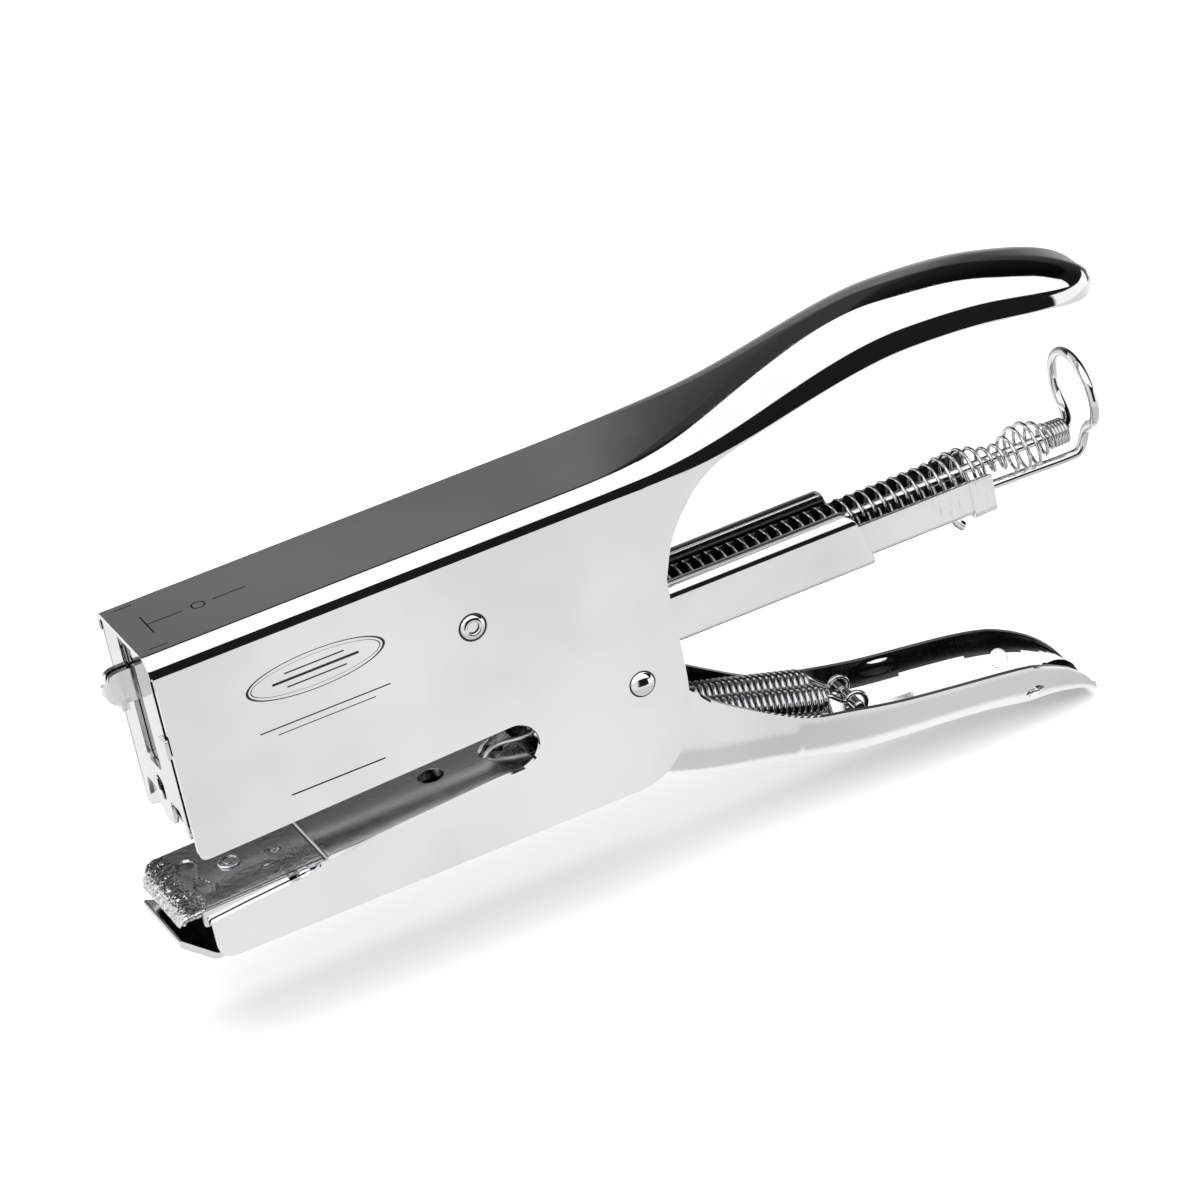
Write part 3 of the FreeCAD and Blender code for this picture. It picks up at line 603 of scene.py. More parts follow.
def wire(name, points, radius, segments):
    """round wire with domed ends; radius is a number or a function of the share of its length"""
    pts = [Vector(p) for p in points]
    last = len(pts) - 1
    tangents = [(pts[min(last, i + 1)] - pts[max(0, i - 1)]).normalized()
                for i in range(last + 1)]
    radii = [radius(i / last) if callable(radius) else radius for i in range(last + 1)]

    def dome(end, outwards, order):
        angles = [pi / 2 * (k + 0.35) / 3 for k in order]
        return [(pts[end] + tangents[end] * outwards * radii[end] * cos(a) * 0.6,
                 tangents[end], radii[end] * sin(a)) for a in angles]

    loops = dome(0, -1, (0, 1, 2)) + list(zip(pts, tangents, radii)) + dome(-1, 1, (2, 1, 0))
    normal = tangents[0].orthogonal().normalized()
    verts = []
    for centre, tangent, r in loops:
        normal = normal - tangent * normal.dot(tangent)
        if normal.length > 1e-6:
            normal = normal.normalized()
        else:
            normal = tangent.orthogonal().normalized()
        binormal = tangent.cross(normal)
        for k in range(segments):
            a = 2 * pi * k / segments
            verts.append(tuple(centre + (normal * cos(a) + binormal * sin(a)) * r))
    return tube(name, verts, segments)


def bake(piece):
    """replaces the object's mesh by its evaluated one"""
    depsgraph = bpy.context.evaluated_depsgraph_get()
    depsgraph.update()
    mesh = bpy.data.meshes.new_from_object(piece.evaluated_get(depsgraph))
    piece.modifiers.clear()
    old = piece.data
    piece.data = mesh
    mesh.name = piece.name
    bpy.data.meshes.remove(old)


def bevel(piece, width, segments, angle):
    modifier = piece.modifiers.new("edge", "BEVEL")
    modifier.width = width / 1000.0
    modifier.segments = segments
    modifier.limit_method = "ANGLE"
    modifier.angle_limit = radians(angle)
    modifier.use_clamp_overlap = True
    bake(piece)


def solidify(piece, thickness, even=True):
    modifier = piece.modifiers.new("sheet", "SOLIDIFY")
    modifier.thickness = thickness / 1000.0
    modifier.offset = -1.0
    modifier.use_even_offset = even
    modifier.use_quality_normals = even
    bake(piece)


def cut(piece, cutter):
    modifier = piece.modifiers.new("cut", "BOOLEAN")
    modifier.operation = "DIFFERENCE"
    modifier.solver = "EXACT"
    modifier.object = cutter
    bake(piece)
    bpy.data.objects.remove(cutter, do_unlink=True)


def drill(piece, centre, axis, radius, start, end, segments):
    cut(piece, lathe("cutter", [(start, radius), (end, radius)], centre, axis, segments))


def drill_axle(piece):
    drill(piece, (AXLE_X, 0, AXLE_Z), (0, 1, 0), AXLE_HOLE, start=-20, end=20, segments=40)


def flip_if(piece, inside_out):
    """turns all faces over where inside_out(faces) holds"""
    with editing(piece.data) as bm:
        if inside_out(bm.faces):
            bmesh.ops.reverse_faces(bm, faces=bm.faces)


def shade(piece, angle, weighted=False):
    """smooth shading, kept sharp at edges above angle"""
    with editing(piece.data) as bm:
        for face in bm.faces:
            face.smooth = True
        for edge in bm.edges:
            sharp = len(edge.link_faces) == 2 and edge.calc_face_angle(0.0) > radians(angle)
            edge.smooth = not sharp
    if weighted:
        modifier = piece.modifiers.new("weights", "WEIGHTED_NORMAL")
        modifier.mode = "FACE_AREA_WITH_ANGLE"
        modifier.weight = 80
        modifier.keep_sharp = True


def soften(piece, width, segments=2, bevel_angle=40, sharp_angle=35):
    """bevelled edges and weighted smooth shading"""
    bevel(piece, width, segments, bevel_angle)
    shade(piece, sharp_angle, weighted=True)


def finish(piece, material, body=None, replaces=None):
    """gives a piece its material, the body it rides on and the CAD node it replaces"""
    piece.data.materials.clear()
    piece.data.materials.append(material)
    if body:
        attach(piece, body)
    if replaces:
        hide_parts(replaces)


def paint(piece, material, chosen):
    """second material where chosen(face, its centre in mm from the scene's origin) holds"""
    piece.data.materials.append(material)
    for face in piece.data.polygons:
        if chosen(face, face.center * 1000.0):
            face.material_index = 1


# ---- body shell with the upper handle ----
BODY_TOP = 58.5
FLAT_END = 92.0          # the flanks are flat and full height up to here
SHELL_TOP = [            # (x, height of the roof line)
    (0, BODY_TOP), (84, BODY_TOP), (95, 59.4), (104, 60.8), (113, 62.8), (123, 65.4),
    (133, 67.8), (143, 69.0), (152, 68.6), (161, 67.6), (170, 65.2), (176, 62.9), (180, 60.6),
    (182, 58.9), (183.2, 57.2)]
SHELL_UNDER = [          # (x, height of the handle's lower edge)
    (92.0, 36.8), (94.1, 42.8), (96.6, 46.7), (100.9, 51.3), (104, 53.2), (108.5, 54.5),
    (113.4, 55.2), (123.5, 57.0), (133.5, 58.8), (143.4, 59.7), (153.1, 59.4), (162.6, 58.2),
    (170, 57.0), (176, 55.7), (180, 54.9), (183.2, 54.8)]
SHELL_HALF = [           # (x, half width)
    (0, HALF), (92, HALF), (98, 12.2), (104, 11.5), (113, 10.5), (123, 9.8), (133, 9.5),
    (150, 9.5), (165, 9.4), (172, 9.0), (176, 8.3), (179, 7.2), (181.2, 5.6), (182.5, 3.9),
    (183.2, 2.2)]
SHELL_RADIUS = [         # (x, radius of the roof's edges)
    (0, 3.9), (84, 3.9), (95, 4.6), (104, 6.0), (113, 7.3), (123, 8.2), (133, 8.9), (143, 9.0),
    (165, 8.6), (172, 7.6), (176, 6.4), (183.2, 1.6)]
ROOF_ARC_END = [(0, 68.0), (84, 68.0), (102, 90.0), (200, 90.0)]   # (x, degrees)
ARC_STEPS = 14
WALL_STEPS = 9
# (x, z) of the flank's edge, from the rear edge down round the jaw, the mouth and the front
FLANK_EDGE = [
    (91.75, 31.0), (91.9, 27.0), (91.95, 23.0), (91.9, 19.6), (91.75, 16.5), (91.35, 12.8),
    (90.75, 10.2), (90.1, 8.5), (89.3, 6.8), (88.3, 5.2), (87.0, 3.5), (85.5, 2.15),
    (83.6, 1.0), (81.6, 0.35), (79.5, 0.05), (77.0, 0.0),
    (2.4, 0.0), (1.5, 0.12), (0.75, 0.45), (0.2, 1.0), (-0.2, 1.75), (-0.45, 2.6),
    (-0.5, 3.4), (-0.5, 7.0), (-0.35, 7.42), (0.1, 7.6),
    (6.8, 8.25), (19.2, 9.28), (19.75, 9.4), (20.2, 9.75), (20.65, 10.05), (21.2, 10.15),
    (35.6, 11.25), (54.8, 12.5),
    *arc(63.4 - 4.35, 16.95, 4.35, -85, 95, 26),
    (57.5, 21.25), (2.3, 19.35), (1.5, 19.42), (0.95, 19.7), (0.6, 20.2), (0.5, 20.9),
    (0.5, 54.6), (0.3, 55.3)]


def shell_spread(x):
    return 3.2 if x < 166 else max(0.2, 3.2 - (x - 166) * 0.22)


def under_spread(x):
    if x < 96:
        return 0.25
    return min(2.5, (x - 96) * 0.3 + 0.25) if x < 170 else 1.0


shell_top = SmoothCurve(SHELL_TOP, shell_spread)
shell_half_smooth = SmoothCurve(SHELL_HALF, shell_spread)
shell_radius = SmoothCurve(SHELL_RADIUS, shell_spread)
shell_under = SmoothCurve(SHELL_UNDER, under_spread)


def shell_half(x):
    """half width; behind the flat flanks it eases from the full width to the smoothed curve"""
    if x <= FLAT_END:
        return HALF
    step = HALF - shell_half_smooth(FLAT_END)
    return shell_half_smooth(x) + step * exp(-(x - FLAT_END) / 3.0)


def shell_column(x):
    """near half of the section at x: the wall's points, None beside the flat flanks, then the
    roof's edge arc"""
    half, top = shell_half(x), shell_top(x)
    r = max(0.3, min(shell_radius(x), half - 0.35))
    arc_end = interp(ROOF_ARC_END, x)
    arc_start = 0.0
    lift = r - r * sin(radians(arc_end))
    wall = [None] * WALL_STEPS
    if x > FLAT_END:
        bottom = shell_under(x)
        if bottom > top - r - 0.05:
            # low section: the lower edge cuts the arc itself
            sine = (min(bottom, top - 0.6) - (top - r)) / r
            bottom = min(bottom, top - 0.6)
            arc_start = max(0.0, degrees(asin(max(-1.0, min(1.0, sine)))))
        if arc_start == 0:
            wall_top = top - r + lift
            wall = [(x, -half, bottom + (wall_top - bottom) * (i / WALL_STEPS))
                    for i in range(WALL_STEPS)]
        else:
            a = radians(arc_start)
            wall = [(x, -half + r - r * cos(a), top - r + r * sin(a))] * WALL_STEPS
    angles = [radians(arc_start + (arc_end - arc_start) * i / ARC_STEPS)
              for i in range(ARC_STEPS + 1)]
    return wall + [(x, -half + r - r * cos(a), top - r + r * sin(a) + lift) for a in angles]


def rear_flank_wall():
    """the flat flank's rear end, where the walls of the upper handle take over"""
    arc_end = interp([(84, 68.0), (102, 90.0)], FLAT_END)
    bottom = 36.8
    top = shell_top(FLAT_END) - shell_radius(FLAT_END) * sin(radians(arc_end))
    return [(FLAT_END, -HALF, bottom + (top - bottom) * k / WALL_STEPS)
            for k in range(WALL_STEPS)]


def shell_skin():
    xs = [0.0, 0.5, 1.5, 4.0, 10, 20, 30, 40, 50, 60, 70, 76, 80, 83]
    xs += stations(84, (FLAT_END, 1.0))
    flat_count = len(xs)
    xs += stations(FLAT_END, (104, 0.4), (176, 0.8), (182.2, 0.35), (183.2, 0.12))[1:]
    verts = []

    def add(point, side):
        if point is None:
            return None
        x, y, z = point
        verts.append((x, y * side, z))
        return len(verts) - 1

    rows = []
    for i, x in enumerate(xs):
        column = shell_column(x)
        if i == flat_count - 1:
            column[:WALL_STEPS] = rear_flank_wall()
        near = [add(p, 1) for p in column]
        rows.append(near + [add(p, -1) for p in reversed(column)])

    faces = []
    for row, after in zip(rows, rows[1:]):
        for k in range(len(row) - 1):
            quad = [row[k], row[k + 1], after[k + 1], after[k]]
            if None not in quad:
                faces.append(quad)
    faces.append(rows[-1])      # closes the tip of the handle

    # each flat flank is one face
    for side, _ in SIDES:
        flat = [row if side < 0 else row[::-1] for row in rows[:flat_count]]
        edge = [row[WALL_STEPS] for row in flat]
        edge += [flat[-1][k] for k in range(WALL_STEPS - 1, -1, -1)]
        edge += [add((x, HALF, z), side) for x, z in FLANK_EDGE]
        faces.append(edge if side < 0 else edge[::-1])
    return make_object("body_shell_skin", verts, faces)


def build_shell():
    shell = shell_skin()
    solidify(shell, SHEET)
    bevel(shell, width=0.13, segments=2, angle=50)
    with editing(shell.data) as bm:
        large = [face for face in bm.faces if len(face.verts) > 20]
        bmesh.ops.triangulate(bm, faces=large, quad_method="BEAUTY", ngon_method="BEAUTY")
    shade(shell, 40, weighted=True)
    for face in shell.data.polygons:
        outer = abs(face.center.y) > HALF / 1000.0 - 1e-5 and face.center.x < 0.0895
        if outer and abs(face.normal.y) > 0.9999:
            face.use_smooth = False
    finish(shell, SHELL_CHROME, "frame", "body_shell")


# ---- lower handle: a pressed round trough with its two pivot ears ----
TROUGH_RIM = [           # (x, height of the rim)
    (70.5, 14.0), (73, 18.5), (77, 24.4), (80, 26.0), (87.2, 26.0), (89.6, 23.0), (90.6, 19.0),
    (91.4, 15.4), (94, 11.4), (98, 8.3), (103, 5.0), (107, 2.4), (111, 0.0), (115.5, -1.9),
    (120, -3.1), (130, -5.3), (140, -6.7), (149, -7.9), (156, -9.2), (160, -10.5),
    (163, -12.1), (165.5, -14.2), (167.5, -16.6), (169.0, -19.4)]
TROUGH_BOTTOM = [        # (x, height of the underside)
    (70.5, 12.0), (73.0, 7.2), (76, 3.2), (80, -0.6), (86.5, -3.6), (92.8, -5.8), (101.9, -8.4),
    (111.3, -10.8), (120.7, -13.0), (130.4, -14.3), (140.2, -15.1), (150, -16.3), (156, -17.6),
    (160, -18.7), (163, -19.5), (166, -20.3), (169.0, -21.2)]
TROUGH_FULL = 10.0
TROUGH_HALF = [          # (x, half width)
    (70, TROUGH_FULL), (140, TROUGH_FULL), (150, 9.8), (156, 9.3), (160, 8.8), (164, 7.9),
    (167, 6.9), (169.0, 5.6)]
SECTION_EXPONENT = [     # (x, superellipse exponent of the section)
    (70, 3.2), (92, 2.9), (104, 2.4), (116, 2.05), (130, 2.0), (160, 2.0), (169.0, 2.0)]
RIM_RAISE = [(70, 0.0), (111, 0.0), (122, 0.6), (154, 0.6), (163, 0.0), (170, 0.0)]
BOTTOM_DROP = [(70, 0.0), (104, 0.0), (116, 0.8), (154, 0.8), (166, 0.0), (170, 0.0)]
GRIP_SHARE = [           # (x, share of the flat-floored grip section)
    (70, 0.0), (114, 0.0), (121, 1.0), (156, 1.0), (164, 0.0), (170, 0.0)]
SECTION_POINTS = 57

trough_rim = SmoothCurve(TROUGH_RIM, lambda x: 0.5 if x < 93 else (2.4 if x < 156 else 0.8))
trough_bottom = SmoothCurve(TROUGH_BOTTOM,
                            lambda x: 1.5 if x < 76 else (3.0 if x < 164 else 1.0))
trough_half = SmoothCurve(TROUGH_HALF, lambda x: 2.5 if x < 164 else 0.6)


def grip_point(phi, half, depth):
    """grip section at angle phi from straight down: a round flank that runs out in a straight
    slope to a narrow flat floor; returns (distance from the middle plane, height)"""
    flank_end = radians(39.0)
    floor_share = 0.4
    y_end, z_end = half * sin(flank_end), -depth * cos(flank_end)
    y_floor = y_end - (depth + z_end) / (depth / half * tan(flank_end))
    if phi >= flank_end:
        return half * sin(phi), -depth * cos(phi)
    share = phi / flank_end
    if share > floor_share:
        k = (share - floor_share) / 0.6
        return y_floor + (y_end - y_floor) * k, -depth + (z_end + depth) * k
    return y_floor * share / floor_share, -depth


def trough_column(x):
    """the section at x from near to far rim, its points evenly spaced"""
    half = trough_half(x)
    rim = trough_rim(x) + interp(RIM_RAISE, x)
    bottom = trough_bottom(x) - interp(BOTTOM_DROP, x)
    spring_line = min(rim, bottom + 9.0) if x < 111 else rim
    depth = max(spring_line - bottom, 0.25)
    power = 2.0 / interp(SECTION_EXPONENT, x)
    grip = interp(GRIP_SHARE, x)
    steps = 240
    dense = [(-half, rim)]
    for i in range(steps + 1):
        a = pi * i / steps
        side = -1 if cos(a) > 0 else 1
        y = side * half * abs(cos(a)) ** power
        z = spring_line - depth * abs(sin(a)) ** power
        grip_y, grip_z = grip_point(abs(pi / 2 - a), half, depth)
        dense.append((y * (1 - grip) + side * grip_y * grip,
                      z * (1 - grip) + (spring_line + grip_z) * grip))
    dense.append((half, rim))
    lengths = [0.0]
    for (y0, z0), (y1, z1) in zip(dense, dense[1:]):
        lengths.append(lengths[-1] + hypot(y1 - y0, z1 - z0))
    out, j = [], 0
    for k in range(SECTION_POINTS):
        target = lengths[-1] * k / (SECTION_POINTS - 1)
        while j < len(lengths) - 2 and lengths[j + 1] < target:
            j += 1
        f = (target - lengths[j]) / max(lengths[j + 1] - lengths[j], 1e-9)
        (y0, z0), (y1, z1) = dense[j], dense[j + 1]
        out.append((x, y0 + (y1 - y0) * f, z0 + (z1 - z0) * f))
    return out


def dented(x, y, z):
    """a long shallow dent pressed inwards on the far flank"""
    centre_x = 134.4
    u = (x - centre_x) / 4.3
    v = (z + 7.4 + (x - centre_x) * 0.14) / 1.35
    q = u * u + v * v
    if y > 3.0 and q < 1.0:
        press = (1 - q) ** 1.5 * 0.55
        return x, y - press * 0.9, z + press * 0.3
    return x, y, z


def build_lower_handle():
    xs = stations(70.5, (76, 0.5), (88, 1.0), (96, 0.35), (156, 0.8), (169, 0.35))
    verts = [dented(*p) for x in xs for p in trough_column(x)]
    handle = grid("lower_handle_trough", verts, SECTION_POINTS)

    def floor_faces_up(faces):
        def off_floor(face):
            centre = face.calc_center_median()
            return abs(centre.y) + abs(centre.x - 0.12)
        return min(faces, key=off_floor).normal.z > 0

    flip_if(handle, floor_faces_up)
    solidify(handle, 1.0)
    # a round hole low on each flank, near the rear end
    tilt = radians(40)
    for side, _ in SIDES:
        drill(handle, (156.5, side * 4.2, -11.0), (0, side * sin(tilt), -cos(tilt)),
              radius=1.75, start=0, end=9, segments=40)
    soften(handle, 0.16, bevel_angle=55, sharp_angle=40)
    finish(handle, HANDLE_CHROME, "handle", "lower_handle")

    def steep_inside(face, centre):
        normal = face.normal
        return (centre.x > 74.0 and abs(centre.y) > 1.5 and normal.y * centre.y < 0
                and abs(normal.z) < 0.47 and abs(normal.x) < 0.75)

    # painted shade: the steep inner flanks get the dark material in place of the dark reflections
    # and shade inside the trough
    paint(handle, PAINTED_SHADE_METAL, steep_inside)


# ---- lower jaw ----
def build_jaw_base():
    """base plate; its tongue rises at the front as one flat facet with straight-cut corners"""
    profile = [(72.0, 0.0), (72.0, 1.2), (-0.2, 1.2), (-0.9, 1.42), (-5.25, 4.3), (-5.55, 4.32),
               (-5.72, 4.1), (-5.72, 3.0), (-1.2, 0.1), (-0.6, 0.0)]
    base = prism("jaw_base", profile, "y", -INSIDE, INSIDE)
    for side, _ in SIDES:
        corner = [(-0.5, side * INSIDE), (-0.5, side * 14.0), (-9.0, side * 14.0),
                  (-9.0, side * 6.99)]
        cut(base, prism("cutter", corner, "z", -3.0, 8.0))
    soften(base, 0.14, bevel_angle=30)
    finish(base, PLATE_METAL, "frame", "jaw_base_plate")


def build_jaw_top():
    """stepped plate with an open hole and, behind it, the one for the springs' hooks"""
    profile = [(-0.8, 7.3), (63.0, 10.0), (63.0, 11.5), (22.9, 10.72), (22.1, 10.35),
               (21.6, 9.5), (21.1, 9.22), (-0.8, 8.45)]
    plate = prism("jaw_top", profile, "y", -INSIDE, INSIDE)
    for x, radius in ((46.7, 2.35), (58.1, 2.3)):
        drill(plate, (x, 0, 0), (0, 0, 1), radius, start=0, end=20, segments=48)
    for side, _ in SIDES:
        notch = [(-3, 5), (18, 5), (18, 12), (-3, 12)]
        cut(plate, flank_plate("cutter", notch, side, 9.5, 14))
    soften(plate, 0.14)
    finish(plate, PLATE_METAL, "frame", "jaw_top_plate")


# ---- anvil ----
ANVIL_HALF = 11.25
ANVIL_ACROSS = 97        # points across
ANVIL_TOP = [(21.4, 10.55), (14.0, 10.32), (8.0, 10.1), (3.0, 9.95), (-0.6, 9.83)]   # (x, z)
ANVIL_LIP = [(-1.2, 9.8), (-2.6, 9.55), (-3.8, 8.95), (-4.65, 8.05), (-5.2, 6.9)]
ANVIL_DIMPLES = [        # (x, y, radius, depth)
    (15.9, -3.0, 1.5, 0.34), (14.8, -1.6, 0.8, 0.14), (13.0, -6.2, 1.0, 0.12)]


def pocket_height(x, y):
    """two clinch pockets on the clinch line, one each side of the middle, with raised rims"""
    if not 0 < abs(y) < 7.0:
        return 0.0
    along = abs(y) / 6.6
    half_width = 0.42 + 1.25 * min(1.0, along / 0.55) ** 1.3
    if along > 0.62:
        half_width *= sqrt(max(0.0, 1 - ((along - 0.62) / 0.40) ** 2))
    if half_width <= 0.05:
        return 0.0
    q = abs(x - ORIGIN_X) / half_width
    if q < 1.0:
        return -(0.14 + 0.26 * min(1.0, along / 0.5)) * (1 - q * q) ** 0.55
    if q < 1.6:
        return 0.07 * (1 - (q - 1.0) / 0.6)
    return 0.0


def anvil_height(x, y, z, half):
    """how far the surface stands off the plain strip"""
    h = pocket_height(x, y)
    for dimple_x, dimple_y, radius, depth in ANVIL_DIMPLES:
        d = hypot(x - dimple_x, y - dimple_y) / radius
        if d < 1:
            h -= depth * (1 - d * d) ** 1.5
    if x < 0.8:
        # hammered front lip
        share = min(1.0, (0.8 - x) / 1.2)
        coarse = noise.noise(Vector((x * 2.3, y * 2.3, z * 2.3)))
        fine = noise.noise(Vector((x * 4.6 + 7, y * 4.6, z * 4.6)))
        h += 0.19 * share * (coarse + 0.6 * fine)
    else:
        h += 0.018 * noise.noise(Vector((x * 0.9, y * 0.9, 3.0)))
    edge = min(1.0, (half - abs(y)) / 0.35)
    return h - 0.16 * (1 - edge) ** 2


def build_anvil():
    """a dense strip, so that the pockets, dimples and hammered lip are real shape"""
    path = resample(ANVIL_TOP + catmull(ANVIL_LIP, 7), 0.22)
    last = len(path) - 1
    verts = []
    for i, (x, z) in enumerate(path):
        half = ANVIL_HALF
        if x <= -2.2:
            half -= ((-2.2 - x) ** 1.6) * 0.42
        x0, z0 = path[max(0, i - 1)]
        x1, z1 = path[min(last, i + 1)]
        length = hypot(x1 - x0, z1 - z0)
        normal_x, normal_z = (z1 - z0) / length, -(x1 - x0) / length
        for k in range(ANVIL_ACROSS):
            y = -half + 2 * half * k / (ANVIL_ACROSS - 1)
            h = anvil_height(x, y, z, half)
            verts.append((x + normal_x * h, y, z + normal_z * h))
    anvil = grid("anvil_plate", verts, ANVIL_ACROSS)
    flip_if(anvil, lambda faces: sum(f.normal.z * f.calc_area() for f in faces) < 0)
    solidify(anvil, 1.12, even=False)
    shade(anvil, 45)
    finish(anvil, ANVIL_METAL, "frame", "anvil")
    paint(anvil, LIP_METAL,
          lambda face, centre: centre.x < -0.4 - ORIGIN_X and face.normal.z > -0.2)


def build_anvil_skirts():
    """skirts down both sides, each with a notch and tab near its rear corner"""
    corners = [          # (x, z, corner radius)
        (-1.2, 9.5, 0.0), (14.6, 9.95, 0.5), (15.4, 8.2, 0.3), (16.3, 8.2, 0.3),
        (16.9, 9.9, 0.4), (18.6, 9.95, 0.6), (19.4, 8.6, 0.5), (17.5, 7.3, 1.0),
        (-0.2, 6.2, 0.6), (-1.4, 6.5, 0.4)]
    for side, label in SIDES:
        skirt = flank_plate("anvil_skirt_" + label, round_outline(corners, 4), side,
                            ANVIL_HALF - 0.95, ANVIL_HALF - 0.02)
        soften(skirt, 0.15)
        finish(skirt, GUIDE_METAL, "frame")


def build_anvil_rivet():
    profile = [          # (distance along the axis, radius)
        (-3.9, 0.2), (-3.9, 1.2), (0.0, 1.2), (0.0, 1.75), (0.04, 1.95), (0.16, 2.08),
        (0.3, 2.05), (0.4, 1.9), (0.46, 1.7), (0.40, 1.5), (0.22, 1.35), (0.20, 1.15),
        (0.36, 0.95), (0.44, 0.6), (0.45, 0.2)]
    rivet = lathe("anvil_rivet_head", profile, (8.4, 0, 10.13), (-0.026, 0, 1), 48)
    shade(rivet, 50)
    finish(rivet, RIVET_METAL, "frame", "anvil_rivet")


# ---- cross pins ----
def build_main_rivet():
    """domed head on both flanks"""
    head, dome_height, dome_radius = -13.65, 1.15, 2.2
    angles = [pi / 2 * k / 9 for k in range(1, 10)]
    profile = [(head, 0.05)]
    profile += [(head + dome_height * (1 - cos(a)), dome_radius * sin(a)) for a in angles]
    profile += [(-12.46, 2.24), (-12.4, 1.9)]
    rivet = lathe("main_rivet_turned", profile + mirror(profile), (AXLE_X, 0, AXLE_Z),
                  (0, 1, 0), 56)
    shade(rivet, 60)
    finish(rivet, RIVET_METAL, "frame", "main_rivet")


def build_hollow_pin():
    lip = [(-12.8, 1.05), (-12.98, 1.25), (-13.0, 1.5), (-12.92, 1.85), (-12.72, 2.16),
           (-12.5, 2.26), (-12.3, 1.95)]
    bore = [(11.8, 1.0), (-11.8, 1.0)]
    pin = lathe("hollow_pin_rolled", lip + mirror(lip) + bore, (PIN_X, 0, PIN_Z), (0, 1, 0), 56,
                ring=True)
    shade(pin, 60)
    finish(pin, RIVET_METAL, "frame", "hollow_pin")

    def in_bore(face, _):
        corners = [pin.data.vertices[k].co * 1000.0 for k in face.vertices]
        return all(hypot(c.x + ORIGIN_X - PIN_X, c.z - PIN_Z) < 1.12 for c in corners)

    # painted shade: the bore gets the dark material in place of the shade inside it
    paint(pin, PAINTED_SHADE_METAL, in_bore)


def build_press_spring():
    """coils wound on the hollow pin, one arm up to the rear and one down to the magazine"""
    radius, half_length, turns, per_turn = 2.7, 3.6, 6, 28
    steps = turns * per_turn
    coil = []
    for i in range(1, steps + 1):
        a = 2 * pi * i / per_turn
        coil.append((PIN_X + radius * cos(a), -half_length + 2 * half_length * i / steps,
                     PIN_Z + radius * sin(a)))
    rear_arm = [(68.2, -3.6, 56.4), (65.2, -3.6, 53.0), (61.9, -3.6, 49.2),
                (PIN_X + radius + 0.9, -3.6, 44.6)]
    front_arm = [(PIN_X + radius - 0.6, 3.7, PIN_Z - 2.2), (54.0, 3.7, 37.0), (50.0, 3.9, 34.6),
                 (44.0, 4.6, 33.3), (38.0, 5.6, 33.05), (34.5, 6.4, 33.05)]
    spring = wire("press_spring_wound", catmull(rear_arm, 10) + coil + catmull(front_arm, 10),
                  radius=0.52, segments=10)
    shade(spring, 60)
    finish(spring, SPRING_METAL, replaces="magazine_press_spring")
    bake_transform(spring)


# ---- drive lever ----
CHEEK_OUTER = 8.9
NOSE_X = -5.3
NOSE_RADIUS = 1.45
NOSE_PLAN = [            # (x, y) of the outer face, from the far cheek to the nose
    (26.0, CHEEK_OUTER), (17.8, CHEEK_OUTER), (15.0, 7.3), (11.0, 4.65), (8.2, 2.65),
    (6.6, 1.75), (5.2, 1.47), (2.0, NOSE_RADIUS), (NOSE_X + NOSE_RADIUS, NOSE_RADIUS)]
NOSE_TOP = [(-5.3, 49.9), (-5.25, 50.5), (-5.0, 51.2), (-4.5, 51.9), (-3.8, 52.4),
            (-3.0, 52.72), (-2.2, 52.8), (6.0, 52.9), (20.0, 55.0), (26.0, 56.4)]   # (x, z)
NOSE_BOTTOM = [(-5.3, 49.8), (-5.25, 49.0), (-5.0, 48.2), (-4.5, 47.5), (-3.8, 47.0),
               (-3.0, 46.76), (-2.2, 46.7), (6.0, 46.9), (20.0, 48.4), (26.0, 48.9)]
NOSE_ROWS = 9            # points over the strip's height


def build_nose():
    """strip bent round the nose, its ends meeting the two cheeks"""
    far_half = catmull(NOSE_PLAN, 8)
    bend = [(NOSE_X + NOSE_RADIUS - NOSE_RADIUS * sin(radians(a)), NOSE_RADIUS * cos(radians(a)))
            for a in range(12, 180, 12)]
    verts = []
    for x, y in far_half + bend + [(x, -y) for x, y in reversed(far_half)]:
        bottom, top = interp(NOSE_BOTTOM, x), interp(NOSE_TOP, x)
        verts += [(x, y, bottom + (top - bottom) * k / (NOSE_ROWS - 1))
                  for k in range(NOSE_ROWS)]
    nose = grid("drive_nose_strip", verts, NOSE_ROWS)

    def outwards(face):
        side = 1 if face.calc_center_median().y > 0 else -1
        return face.normal.y * side * face.calc_area()

    flip_if(nose, lambda faces: sum(outwards(f) for f in faces) < 0)
    solidify(nose, 0.98)
    soften(nose, 0.12, bevel_angle=45, sharp_angle=40)
    finish(nose, GUIDE_METAL, "handle", "drive_lever")


def build_lever_cheeks():
    corners = [          # (x, z, corner radius)
        (89.8, 19.6, 1.5), (88.6, 26.0, 3), (84.0, 40.0, 6), (80.0, 50.5, 5), (74.0, 56.4, 4),
        (28.0, 56.4, 3), (22.0, 55.2, 0.3), (22.0, 48.6, 0.3), (45.0, 50.6, 2), (64.0, 50.8, 3),
        (71.0, 45.0, 6), (76.6, 27.0, 6), (74.6, 20.0, 3), (73.4, 15.5, 2), (74.4, 12.6, 1.4),
        (77.5, 12.2, 1.4), (81.0, 13.9, 2), (85.5, 13.6, 2), (88.6, 15.9, 1.5)]
    for side, label in SIDES:
        cheek = flank_plate("lever_cheek_" + label, round_outline(corners, 5), side,
                            CHEEK_OUTER - 1.0, CHEEK_OUTER)
        drill_axle(cheek)
        soften(cheek, 0.12)
        finish(cheek, PLATE_METAL, "handle")


# ---- front guide ----
GUIDE_FRONT, GUIDE_REAR = 0.3, 1.2     # x of the plate's faces
GUIDE_HALF = 10.5
GUIDE_FOOT, GUIDE_TOP = 22.8, 57.0


